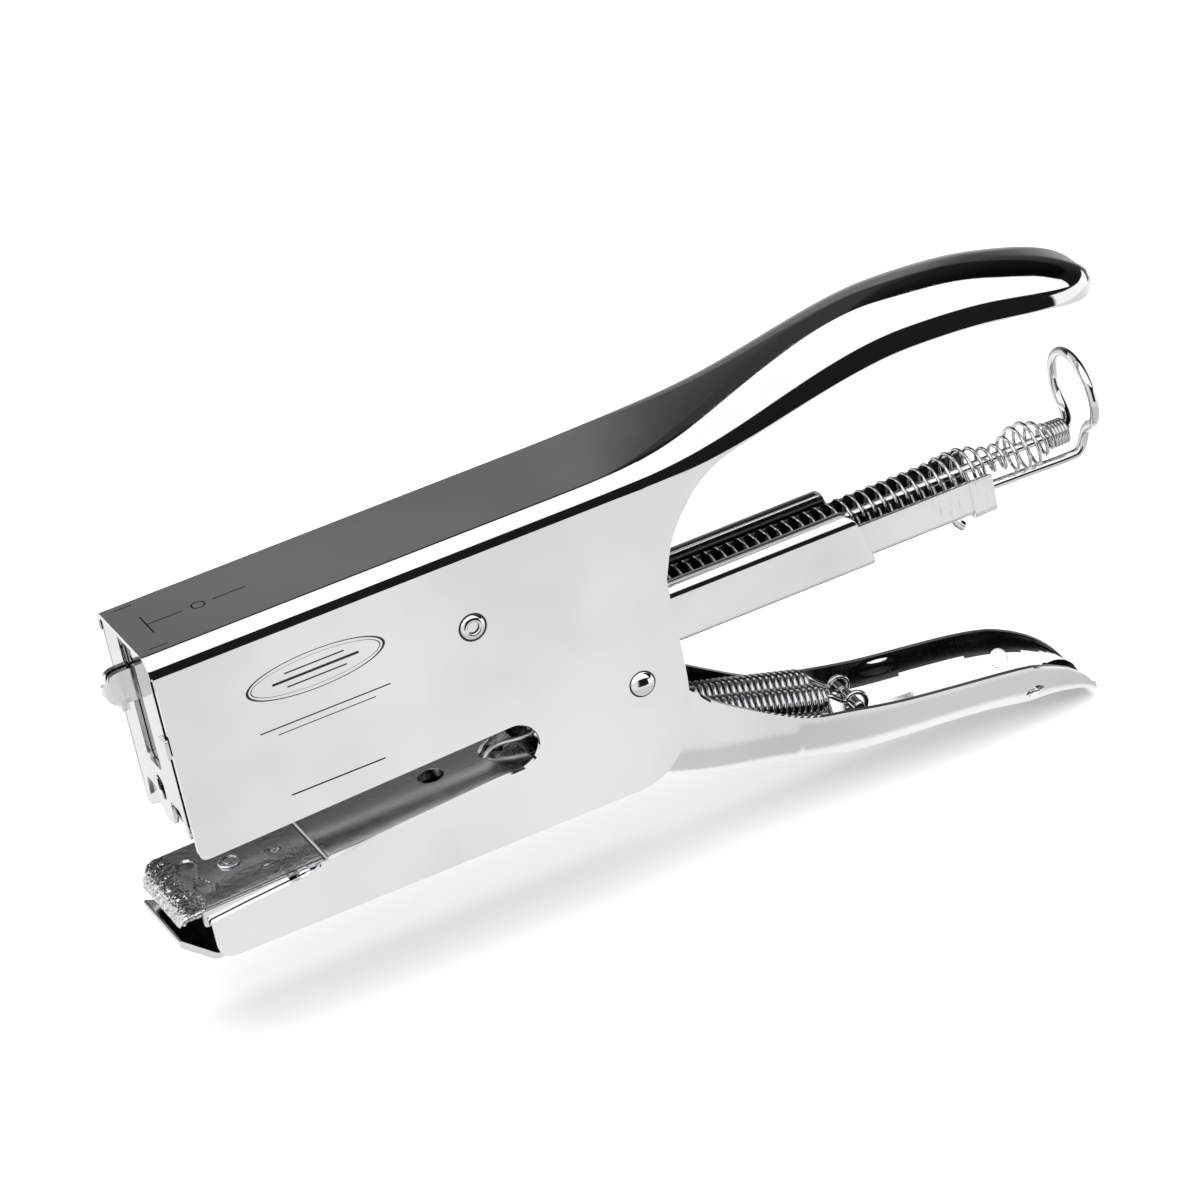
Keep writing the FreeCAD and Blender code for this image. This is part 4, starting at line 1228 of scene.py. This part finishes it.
def build_guide_plate():
    """plate with a tongue and window below and an open slot above"""
    # far halves of the edge as (y, z, corner radius)
    lower = [(1.0, 21.85, 0.8), (2.3, 22.3, 0.8), (3.0, 23.6, 1.0), (3.2, 26.4, 0.5),
             (3.7, 27.4, 0.7), (8.0, 27.3, 1.0), (8.9, GUIDE_FOOT, 0.8),
             (GUIDE_HALF, GUIDE_FOOT, 0.4)]
    upper = [(GUIDE_HALF, GUIDE_TOP, 0.4), (3.35, GUIDE_TOP, 0.3), (3.35, 33.9, 0.5),
             (2.6, 33.15, 0.5)]
    window = [(-1.75, 26.3, 1.7), (1.75, 26.3, 1.7), (1.75, 30.9, 1.7), (-1.75, 30.9, 1.7)]
    corners = mirror(lower) + lower + upper + mirror(upper)
    guide = prism("front_guide_plate", round_outline(corners, 5), "x", GUIDE_FRONT, GUIDE_REAR)
    cut(guide, prism("cutter", round_outline(window, 8), "x", -2, 4))
    soften(guide, 0.16)
    finish(guide, GUIDE_METAL, "magazine", "front_guide")


def build_guide_sides():
    """a wing running back from each edge of the plate, and an ear block outside it"""
    wing_front = GUIDE_REAR - 0.1
    wing_corners = [     # (x, z, corner radius)
        (wing_front, GUIDE_FOOT, 0), (7.5, 24.5, 1), (9.0, 27.0, 1), (9.0, 44.0, 1),
        (7.5, 46.0, 1), (5.5, 47.0, 1), (5.5, 55.5, 1), (4.3, GUIDE_TOP, 1),
        (wing_front, GUIDE_TOP, 0)]
    for side, label in SIDES:
        wing = flank_plate("guide_wing_" + label, round_outline(wing_corners, 4), side,
                           9.6, GUIDE_HALF)
        soften(wing, 0.12)
        finish(wing, GUIDE_METAL, "magazine")
        y0, y1 = sorted((side * 9.3, side * 12.3))
        ear_corners = [(y0, 39.5, 0.35), (y1, 39.5, 0.35), (y1, 43.2, 0.35), (y0, 43.2, 0.35)]
        ear = prism("guide_ear_" + label, round_outline(ear_corners, 4), "x", -0.42, 0.32)
        soften(ear, 0.14, segments=3)
        finish(ear, GUIDE_METAL, "magazine")


# ---- magazine sleeve and staple rail ----
SLEEVE_BOTTOM, SLEEVE_TOP = 21.4, 32.3
SLEEVE_SHEET = 0.8
SLEEVE_INNER = 6.6                     # half width inside
SLEEVE_OUTER = SLEEVE_INNER + SLEEVE_SHEET
SLEEVE_END = [(21.0, 131.75), (24.4, 132.1), (29.0, 130.4), (31.0, 129.5), (31.8, 128.6),
              (32.4, 127.6)]           # (z, x of the rear end)
RAIL_HALF = 5.95
RAIL_SHEET = 0.7
RAIL_BOTTOM, RAIL_TOP = SLEEVE_BOTTOM + SLEEVE_SHEET + 0.05, 28.9


def sleeve_section():
    """(y, z) outline with the upper lips rolled inwards"""
    floor = SLEEVE_BOTTOM + SLEEVE_SHEET
    lip_y, lip_z = SLEEVE_OUTER - 2.2, SLEEVE_TOP - 2.2
    far = [(SLEEVE_OUTER, SLEEVE_BOTTOM + 1.0)]
    far += arc(lip_y, lip_z, 2.2, 0, 125, 18)
    far += arc(lip_y, lip_z, 1.42, 125, 0, 16)
    far += [(SLEEVE_INNER, floor + 0.5), (SLEEVE_INNER - 0.15, floor + 0.15),
            (SLEEVE_INNER - 0.5, floor)]
    bottom = [(SLEEVE_OUTER - 1.0, SLEEVE_BOTTOM), (SLEEVE_OUTER - 0.6, SLEEVE_BOTTOM + 0.08),
              (SLEEVE_OUTER - 0.3, SLEEVE_BOTTOM + 0.3),
              (SLEEVE_OUTER - 0.08, SLEEVE_BOTTOM + 0.6)]
    return far + mirror(far) + mirror(bottom) + bottom


def build_sleeve():
    section = sleeve_section()
    straight_end = 124.0
    verts = [(x, y, z) for x in (2.0, 2.3, 10.0, 40.0, 80.0, 110.0, 120.0, straight_end)
             for y, z in section]
    # the rear end follows its own profile
    for share in (0.35, 0.7, 0.92, 1.0):
        for y, z in section:
            end = interp(SLEEVE_END, z)
            verts.append((straight_end + (end - straight_end) * share, y, z))
    sleeve = tube("magazine_sleeve_rolled", verts, len(section))
    soften(sleeve, 0.12, bevel_angle=50, sharp_angle=40)
    finish(sleeve, SLEEVE_METAL, "magazine", "magazine_sleeve")

    def inside(face, centre):
        low = SLEEVE_BOTTOM + SLEEVE_SHEET - 0.02
        return (abs(centre.y) < SLEEVE_INNER + 0.02 and low < centre.z < SLEEVE_TOP - 1.3
                and face.normal.x < 0.5)

    # painted shade: the sleeve's inside gets the dark material in place of its shade
    paint(sleeve, PAINTED_SHADE_METAL, inside)


def build_sleeve_ears():
    ear_top = SLEEVE_BOTTOM + 1.2
    corners = [(73.5, ear_top, 0), (77.6, 17.0, 2), (79.4, 15.4, 1.5), (87.8, 15.4, 1.5),
               (89.6, 17.0, 2), (93.7, ear_top, 0)]      # (x, z, corner radius)
    for side, label in SIDES:
        ear = flank_plate("sleeve_ear_" + label, round_outline(corners, 5), side,
                          SLEEVE_INNER + 0.02, SLEEVE_OUTER - 0.02)
        drill_axle(ear)
        soften(ear, 0.1)
        finish(ear, SLEEVE_METAL, "magazine")


def channel(half, sheet, bottom, top, radius):
    """(y, z) section of a channel open at the top, its lower edges rounded"""
    inner_radius = max(0.1, radius - sheet)

    def far_wall(y, floor, r):
        return [(y, top)] + [(y - r + r * cos(radians(a)), floor + r + r * sin(radians(a)))
                             for a in range(0, -91, -15)]

    outer = far_wall(half, bottom, radius)
    inner = far_wall(half - sheet, bottom + sheet, inner_radius)[::-1]
    return outer + mirror(outer) + mirror(inner) + inner


def cut_latch_slot(piece, top, half):
    slot = [(148.6, 18), (170, 18), (170, top), (148.6, top)]
    cut(piece, prism("cutter", slot, "y", -half, half))


def build_rail():
    section = channel(RAIL_HALF, RAIL_SHEET, RAIL_BOTTOM, RAIL_TOP, radius=1.1)
    rail = prism("staple_rail_channel", section, "x", 2.6, 156.2)
    cut_latch_slot(rail, top=25.0, half=1.15)
    soften(rail, 0.12, bevel_angle=45, sharp_angle=38)
    finish(rail, RAIL_METAL, "magazine", "staple_rail")

    def inside(face, centre):
        return (abs(centre.y) < RAIL_HALF - RAIL_SHEET + 0.03
                and centre.z > RAIL_BOTTOM + RAIL_SHEET - 0.03 and face.normal.x < 0.5)

    # painted shade: the rail's inside gets the dark material in place of its shade
    paint(rail, PAINTED_SHADE_METAL, inside)


def build_rail_band():
    section = channel(RAIL_HALF + 0.72, 0.70, SLEEVE_BOTTOM + 0.1, RAIL_TOP + 0.25, radius=1.7)
    band = prism("rail_end_band", section, "x", 152.2, 156.6)
    cut_latch_slot(band, top=24.5, half=1.2)
    soften(band, 0.2, segments=3, bevel_angle=45, sharp_angle=38)
    finish(band, RAIL_METAL, "magazine", "rail_end_cap")


# ---- feeder ----
ROD_Z = 28.4
ROD_RADIUS = 0.88
RING_RADIUS = 7.0
FEED_ENVELOPE = [        # (x, coil radius)
    (24.3, 3.1), (120, 3.3), (147, 3.45), (151.5, 3.9), (154.5, 3.85), (157.5, 2.7),
    (160.0, 2.15), (162.0, 2.6), (164.5, 3.9), (166.8, 4.1), (169.0, 3.2), (170.8, 2.2),
    (171.6, 2.15), (174.6, 2.1)]
FEED_PITCH = [           # (x, advance per turn)
    (24, 2.15), (150, 2.15), (156, 2.25), (164, 2.0), (169, 2.0), (171.0, 1.0), (171.8, 0.60),
    (174.6, 0.60)]


def build_feeder_rod():
    """straight rod, pull ring at the rear, and the latch hook running back under the rod"""
    points = [(9.5, 0.0, ROD_Z), (60.0, 0.0, ROD_Z), (120.0, 0.0, ROD_Z), (160.0, 0.0, ROD_Z),
              (168.0, 0.0, ROD_Z), (173.2, 0.15, ROD_Z - 0.1), (175.6, 1.4, ROD_Z + 0.3)]
    for degree in range(-50, 251, 15):
        a, share = radians(degree), (degree + 50) / 300.0
        points.append((177.2 - 0.4 + 1.2 * share, RING_RADIUS * cos(a),
                       ROD_Z + RING_RADIUS + RING_RADIUS * sin(a)))
    points += [(177.9, -1.0, ROD_Z - 0.9), (177.6, -0.3, ROD_Z - 2.6), (177.1, 0.0, 24.3),
               (176.1, 0.0, 23.2), (174.4, 0.0, 23.0), (166.0, 0.0, 23.2), (158.0, 0.0, 23.4),
               (153.0, 0.0, 23.5), (151.2, 0.0, 22.9), (150.6, 0.0, 21.3), (150.9, 0.0, 19.3),
               (152.0, 0.0, 17.9)]
    rod = wire("feeder_rod", catmull(points, 10), ROD_RADIUS, segments=16)
    shade(rod, 60)
    finish(rod, WIRE_METAL, "feeder", "feed_rod")

    profile = [(0, 0.2), (0, 1.2), (0.12, 1.35), (1.0, 1.35), (1.15, 1.2), (1.2, 0.2)]
    button = lathe("feeder_rod_button", profile, (8.4, 0, ROD_Z), (1, 0, 0), 32)
    shade(button, 40)
    finish(button, WIRE_METAL, "feeder")


def build_feed_spring():
    per_turn = 20
    points, x, angle = [], 24.6, 0.4
    while x < 174.3:
        r = interp(FEED_ENVELOPE, x)
        points.append((x, r * cos(angle), ROD_Z + r * sin(angle)))
        angle += 2 * pi / per_turn
        x += interp(FEED_PITCH, x) / per_turn

    def wire_radius(share):
        """a shade heavier in the open turns towards the rail's rear end and behind it"""
        x = points[int(share * (len(points) - 1))][0]
        return 0.27 + 0.08 * max(0.0, min(1.0, (x - 146.0) / 6.0))

    spring = wire("feed_spring_wound", points, wire_radius, segments=8)
    shade(spring, 70)
    finish(spring, SPRING_METAL, replaces="feed_spring")
    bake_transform(spring)


# ---- return springs and their hook bar ----
HOOK_X, HOOK_Z = 124.4, -5.3
COIL_FRONT, COIL_REAR = (66.2, 13.2), (118.8, -2.1)      # (x, z) of the coils' ends
RETURN_Y = 3.45
RETURN_RADIUS = 2.95                   # outside of the coils
RETURN_WIRE = 0.45


def return_spring(name, side, phase):
    turns, per_turn, taper_steps = 46, 22, 30
    steps = turns * per_turn
    (front_x, front_z), (rear_x, rear_z) = COIL_FRONT, COIL_REAR
    length = hypot(rear_x - front_x, rear_z - front_z)
    axis_x, axis_z = (rear_x - front_x) / length, (rear_z - front_z) / length
    y = side * RETURN_Y
    coil = []
    for i in range(steps + 1):
        a = phase + 2 * pi * i / per_turn
        along = length * i / steps
        taper = min(1.0, i / taper_steps, (steps - i) / taper_steps)
        r = (RETURN_RADIUS - RETURN_WIRE) * (0.55 + 0.45 * taper)
        coil.append((front_x + axis_x * along - axis_z * r * sin(a), y + r * cos(a),
                     front_z + axis_z * along + axis_x * r * sin(a)))
    # rear loop round the hook bar, in the upright plane of the spring's axis
    rear = [(rear_x + 0.9, y + 0.2 * side, rear_z + 0.35)]
    loop_radius, loop_steps = 1.95, 16
    for k in range(loop_steps + 1):
        a = radians(150 - 330 * k / loop_steps)
        rear.append((HOOK_X - 0.1 + loop_radius * cos(a),
                     y + side * (0.1 + 0.5 * k / loop_steps),
                     HOOK_Z + 0.25 + loop_radius * sin(a)))
    # front hook, through the hole in the jaw's top plate
    front = [(56.2, y * 0.35, 8.9), (56.4, y * 0.35, 10.6), (57.6, y * 0.36, 12.2),
             (59.4, y * 0.45, 12.9), (62.6, y * 0.8, 13.2), (64.9, y, 13.4)]
    spring = wire(name, catmull(front, 8) + coil[4:-4] + catmull(rear, 6), RETURN_WIRE, 10)
    shade(spring, 70)
    return spring


def build_return_springs():
    for (side, label), phase in zip(SIDES, (0.3, 2.2)):
        spring = return_spring("return_spring_wound_" + label, side, phase)
        finish(spring, SPRING_METAL, replaces="return_spring_" + label)
        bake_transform(spring)


def build_spring_hook():
    """cross bar in the lower handle, and the web that carries it"""
    end = [(-5.3, 0.3), (-5.3, 0.75), (-5.1, 0.95), (-4.6, 0.95)]
    bar = lathe("spring_hook_bar", end + mirror(end), (HOOK_X, 0, HOOK_Z), (0, 1, 0), 32)
    shade(bar, 50)
    finish(bar, WIRE_METAL, "handle", "spring_hook")

    corners = [(123.3, -4.7, 0.8), (125.5, -4.7, 0.8), (126.4, -9.0, 2), (128.4, -13.0, 0),
               (121.8, -12.0, 0), (122.9, -9.0, 2)]      # (x, z, corner radius)
    web = prism("spring_hook_web", round_outline(corners, 5), "y", -0.95, 0.95)
    soften(web, 0.25, segments=3)
    finish(web, PLATE_METAL, "handle")


# ---- CAD pieces kept as they are, with their own finish ----
KEPT_NODES = {"driver_blade": BLADE_METAL, "pusher": PLATE_METAL, "rail_rivets": RIVET_METAL,
              "pivot_spacers": PLATE_METAL, "lever_rivets": RIVET_METAL}


def finish_kept_nodes():
    for node, material in KEPT_NODES.items():
        piece = frame["nodes"][node]
        if not piece.material_slots:
            piece.data.materials.append(material)
        for slot in piece.material_slots:
            slot.material = material


# ---- stage, in metres ----
def build_floor():
    cells, half, gap = 12, 3.0, 0.0006
    z = min(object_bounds()[0].z, CAD_BOX[0].z) - gap
    ticks = [-half + 2 * half * i / cells for i in range(cells + 1)]
    verts = [(x, y, z) for x in ticks for y in ticks]
    faces = []
    for i in range(cells):
        for j in range(cells):
            a = i * (cells + 1) + j
            faces.append((a, a + cells + 1, a + cells + 2, a + 1))
    mesh = bpy.data.meshes.new("studio_floor")
    mesh.from_pydata(verts, [], faces)
    floor = bpy.data.objects.new("studio_floor", mesh)
    collection.objects.link(floor)

    material = bpy.data.materials.new("pale_floor")
    g = Graph(material)
    output = g.new("ShaderNodeOutputMaterial")
    surface = g.new("ShaderNodeBsdfPrincipled")
    surface.inputs["Roughness"].default_value = 0.9
    surface.inputs["Specular IOR Level"].default_value = 0.1
    coords = g.new("ShaderNodeTexCoord").outputs["Object"]
    mottle = g.noise(coords, scale=18.0, detail=4.0)
    colour = g.mix_colour(mottle, (0.94, 0.94, 0.94, 1), (0.96, 0.96, 0.96, 1))
    g.links.new(colour, surface.inputs["Base Color"])
    g.links.new(surface.outputs[0], output.inputs[0])
    mesh.materials.append(material)
    floor.visible_glossy = False


# (azimuth in degrees from +Y towards +X, brightness); falls off quickly towards +X
WALL_BRIGHTNESS = [
    (-180, 0.012), (-110, 0.10), (-70, 0.11), (-30, 0.145), (0, 0.160), (24, 0.158),
    (31, 0.060), (50, 0.034), (70, 0.020), (92, 0.009), (180, 0.012)]


def build_world():
    """soft studio surround that the chrome reflects"""
    world = bpy.data.worlds.new("studio")
    bpy.context.scene.world = world
    g = Graph(world)
    output = g.new("ShaderNodeOutputWorld")
    background = g.new("ShaderNodeBackground")
    dx, dy, dz = g.split(g.new("ShaderNodeTexCoord").outputs["Generated"])

    def beyond(a, b, c, blur):
        """1 on the side of a plane through the origin that (a, b, c) points to"""
        length = sqrt(a * a + b * b + c * c)
        height = g.add(g.add(g.mul(dx, a / length), g.mul(dy, b / length)),
                       g.mul(dz, c / length))
        return g.ramp(height, low=-blur, high=blur)

    azimuth = g.math("ARCTAN2", dx, dy)
    # overhead softbox with two straight edges
    softbox = g.mul(beyond(-0.548, -0.794, 0.262, blur=0.010),
                    beyond(0.134, 0.355, 0.925, blur=0.010))
    # low white card at +X, softer one at -X
    card = g.mul(g.mul(beyond(0.777, 0.629, 0.0, blur=0.02), beyond(0.5, -0.866, 0.0, blur=0.03)),
                 g.ramp(dz, low=-0.03, high=0.03, out=(1.0, 0.0)))
    soft_card = g.mul(g.ramp(dx, low=-0.50, high=-0.12, out=(0.80, 0.0)),
                      g.ramp(dz, low=0.30, high=0.50, out=(1.0, 0.0)))
    # table: brighter beyond the object (+Y) than before it
    near_table = g.ramp(dz, low=-0.66, high=-0.50, out=(0.62, 0.80))
    table = g.mix(g.ramp(dy, low=0.0, high=0.40), near_table, 0.95)
    is_table = g.ramp(dz, low=-0.425, high=-0.395, out=(1.0, 0.0))

    # grey wall of the room
    ramp = g.new("ShaderNodeValToRGB")
    g.links.new(g.add(g.mul(azimuth, 1 / (2 * pi)), 0.5), ramp.inputs[0])
    ramp.color_ramp.interpolation = "LINEAR"
    stops = ramp.color_ramp.elements
    for i, (degree, brightness) in enumerate(WALL_BRIGHTNESS):
        position = degree / 360.0 + 0.5
        stop = stops[i] if i < 2 else stops.new(position)
        stop.position = position
        stop.color = (brightness, brightness, brightness, 1)
    wall = g.new("ShaderNodeSeparateColor")
    g.links.new(ramp.outputs[0], wall.inputs[0])
    # brighter near the table on the +Y side, dimmer high up
    low_glow = g.mul(g.ramp(dz, low=-0.30, high=0.30, out=(0.33, 0.0)),
                     g.mul(g.ramp(azimuth, low=0.56, high=0.95, out=(1.0, 0.0)),
                           g.ramp(dy, low=0.0, high=0.30)))
    dimming = g.ramp(dz, low=0.470, high=0.545, out=(1.0, 0.26))
    room = g.add(g.mul(wall.outputs[0], dimming), low_glow)

    card_level, softbox_level, diffuse_level = 1.05, 1.18, 1.0
    value = g.max(room, soft_card)
    value = g.mix(card, value, card_level)
    value = g.mix(softbox, value, softbox_level)
    value = g.mix(is_table, value, table)
    # diffuse rays see an even white surround
    path = g.new("ShaderNodeLightPath")
    value = g.mix(path.outputs["Is Diffuse Ray"], value, diffuse_level)
    grey = g.new("ShaderNodeCombineColor")
    for i in range(3):
        g.links.new(value, grey.inputs[i])
    g.links.new(grey.outputs[0], background.inputs["Color"])
    background.inputs["Strength"].default_value = 1.0
    g.links.new(background.outputs[0], output.inputs[0])


def build_key_light():
    location, target = Vector((0.15, -0.35, 0.95)), Vector((0.08, 0, 0.02))
    lamp = bpy.data.lights.new("key", "AREA")
    lamp.shape = "SQUARE"
    lamp.size = 1.4
    lamp.energy = 11.0
    key = bpy.data.objects.new("key", lamp)
    collection.objects.link(key)
    key.location = location
    key.rotation_mode = "QUATERNION"
    key.rotation_quaternion = (target - location).to_track_quat("-Z", "Y")
    key.visible_glossy = False
    key.visible_camera = False


def build_camera():
    azimuth, elevation, roll = radians(-18.36), radians(27.92), radians(12.81)
    location = (-0.2531, -1.0086, 0.5941)
    back = Vector((sin(azimuth) * cos(elevation), -cos(azimuth) * cos(elevation),
                   sin(elevation)))
    level = Vector((cos(azimuth), sin(azimuth), 0))
    upright = back.cross(level)
    right = level * cos(roll) - upright * sin(roll)
    up = level * sin(roll) + upright * cos(roll)
    lens = bpy.data.cameras.new("camera")
    camera = bpy.data.objects.new("camera", lens)
    collection.objects.link(camera)
    lens.sensor_width = 36.0
    lens.lens = 210.12
    lens.clip_start = 0.05
    lens.clip_end = 20.0
    rows = [(right[i], up[i], back[i], location[i]) for i in range(3)]
    camera.matrix_world = Matrix((*rows, (0, 0, 0, 1)))
    bpy.context.scene.camera = camera


def set_view():
    view = bpy.context.scene.view_settings
    view.view_transform = "Standard"
    view.look = "None"
    view.exposure = 0.0
    view.gamma = 1.0


build_shell()
build_lower_handle()
build_jaw_base()
build_jaw_top()
build_anvil()
build_anvil_skirts()
build_anvil_rivet()
build_main_rivet()
build_hollow_pin()
build_press_spring()
build_nose()
build_lever_cheeks()
build_guide_plate()
build_guide_sides()
build_sleeve()
build_sleeve_ears()
build_rail()
build_rail_band()
build_feeder_rod()
build_feed_spring()
build_return_springs()
build_spring_hook()
finish_kept_nodes()
build_floor()
build_world()
build_key_light()
build_camera()
set_view()
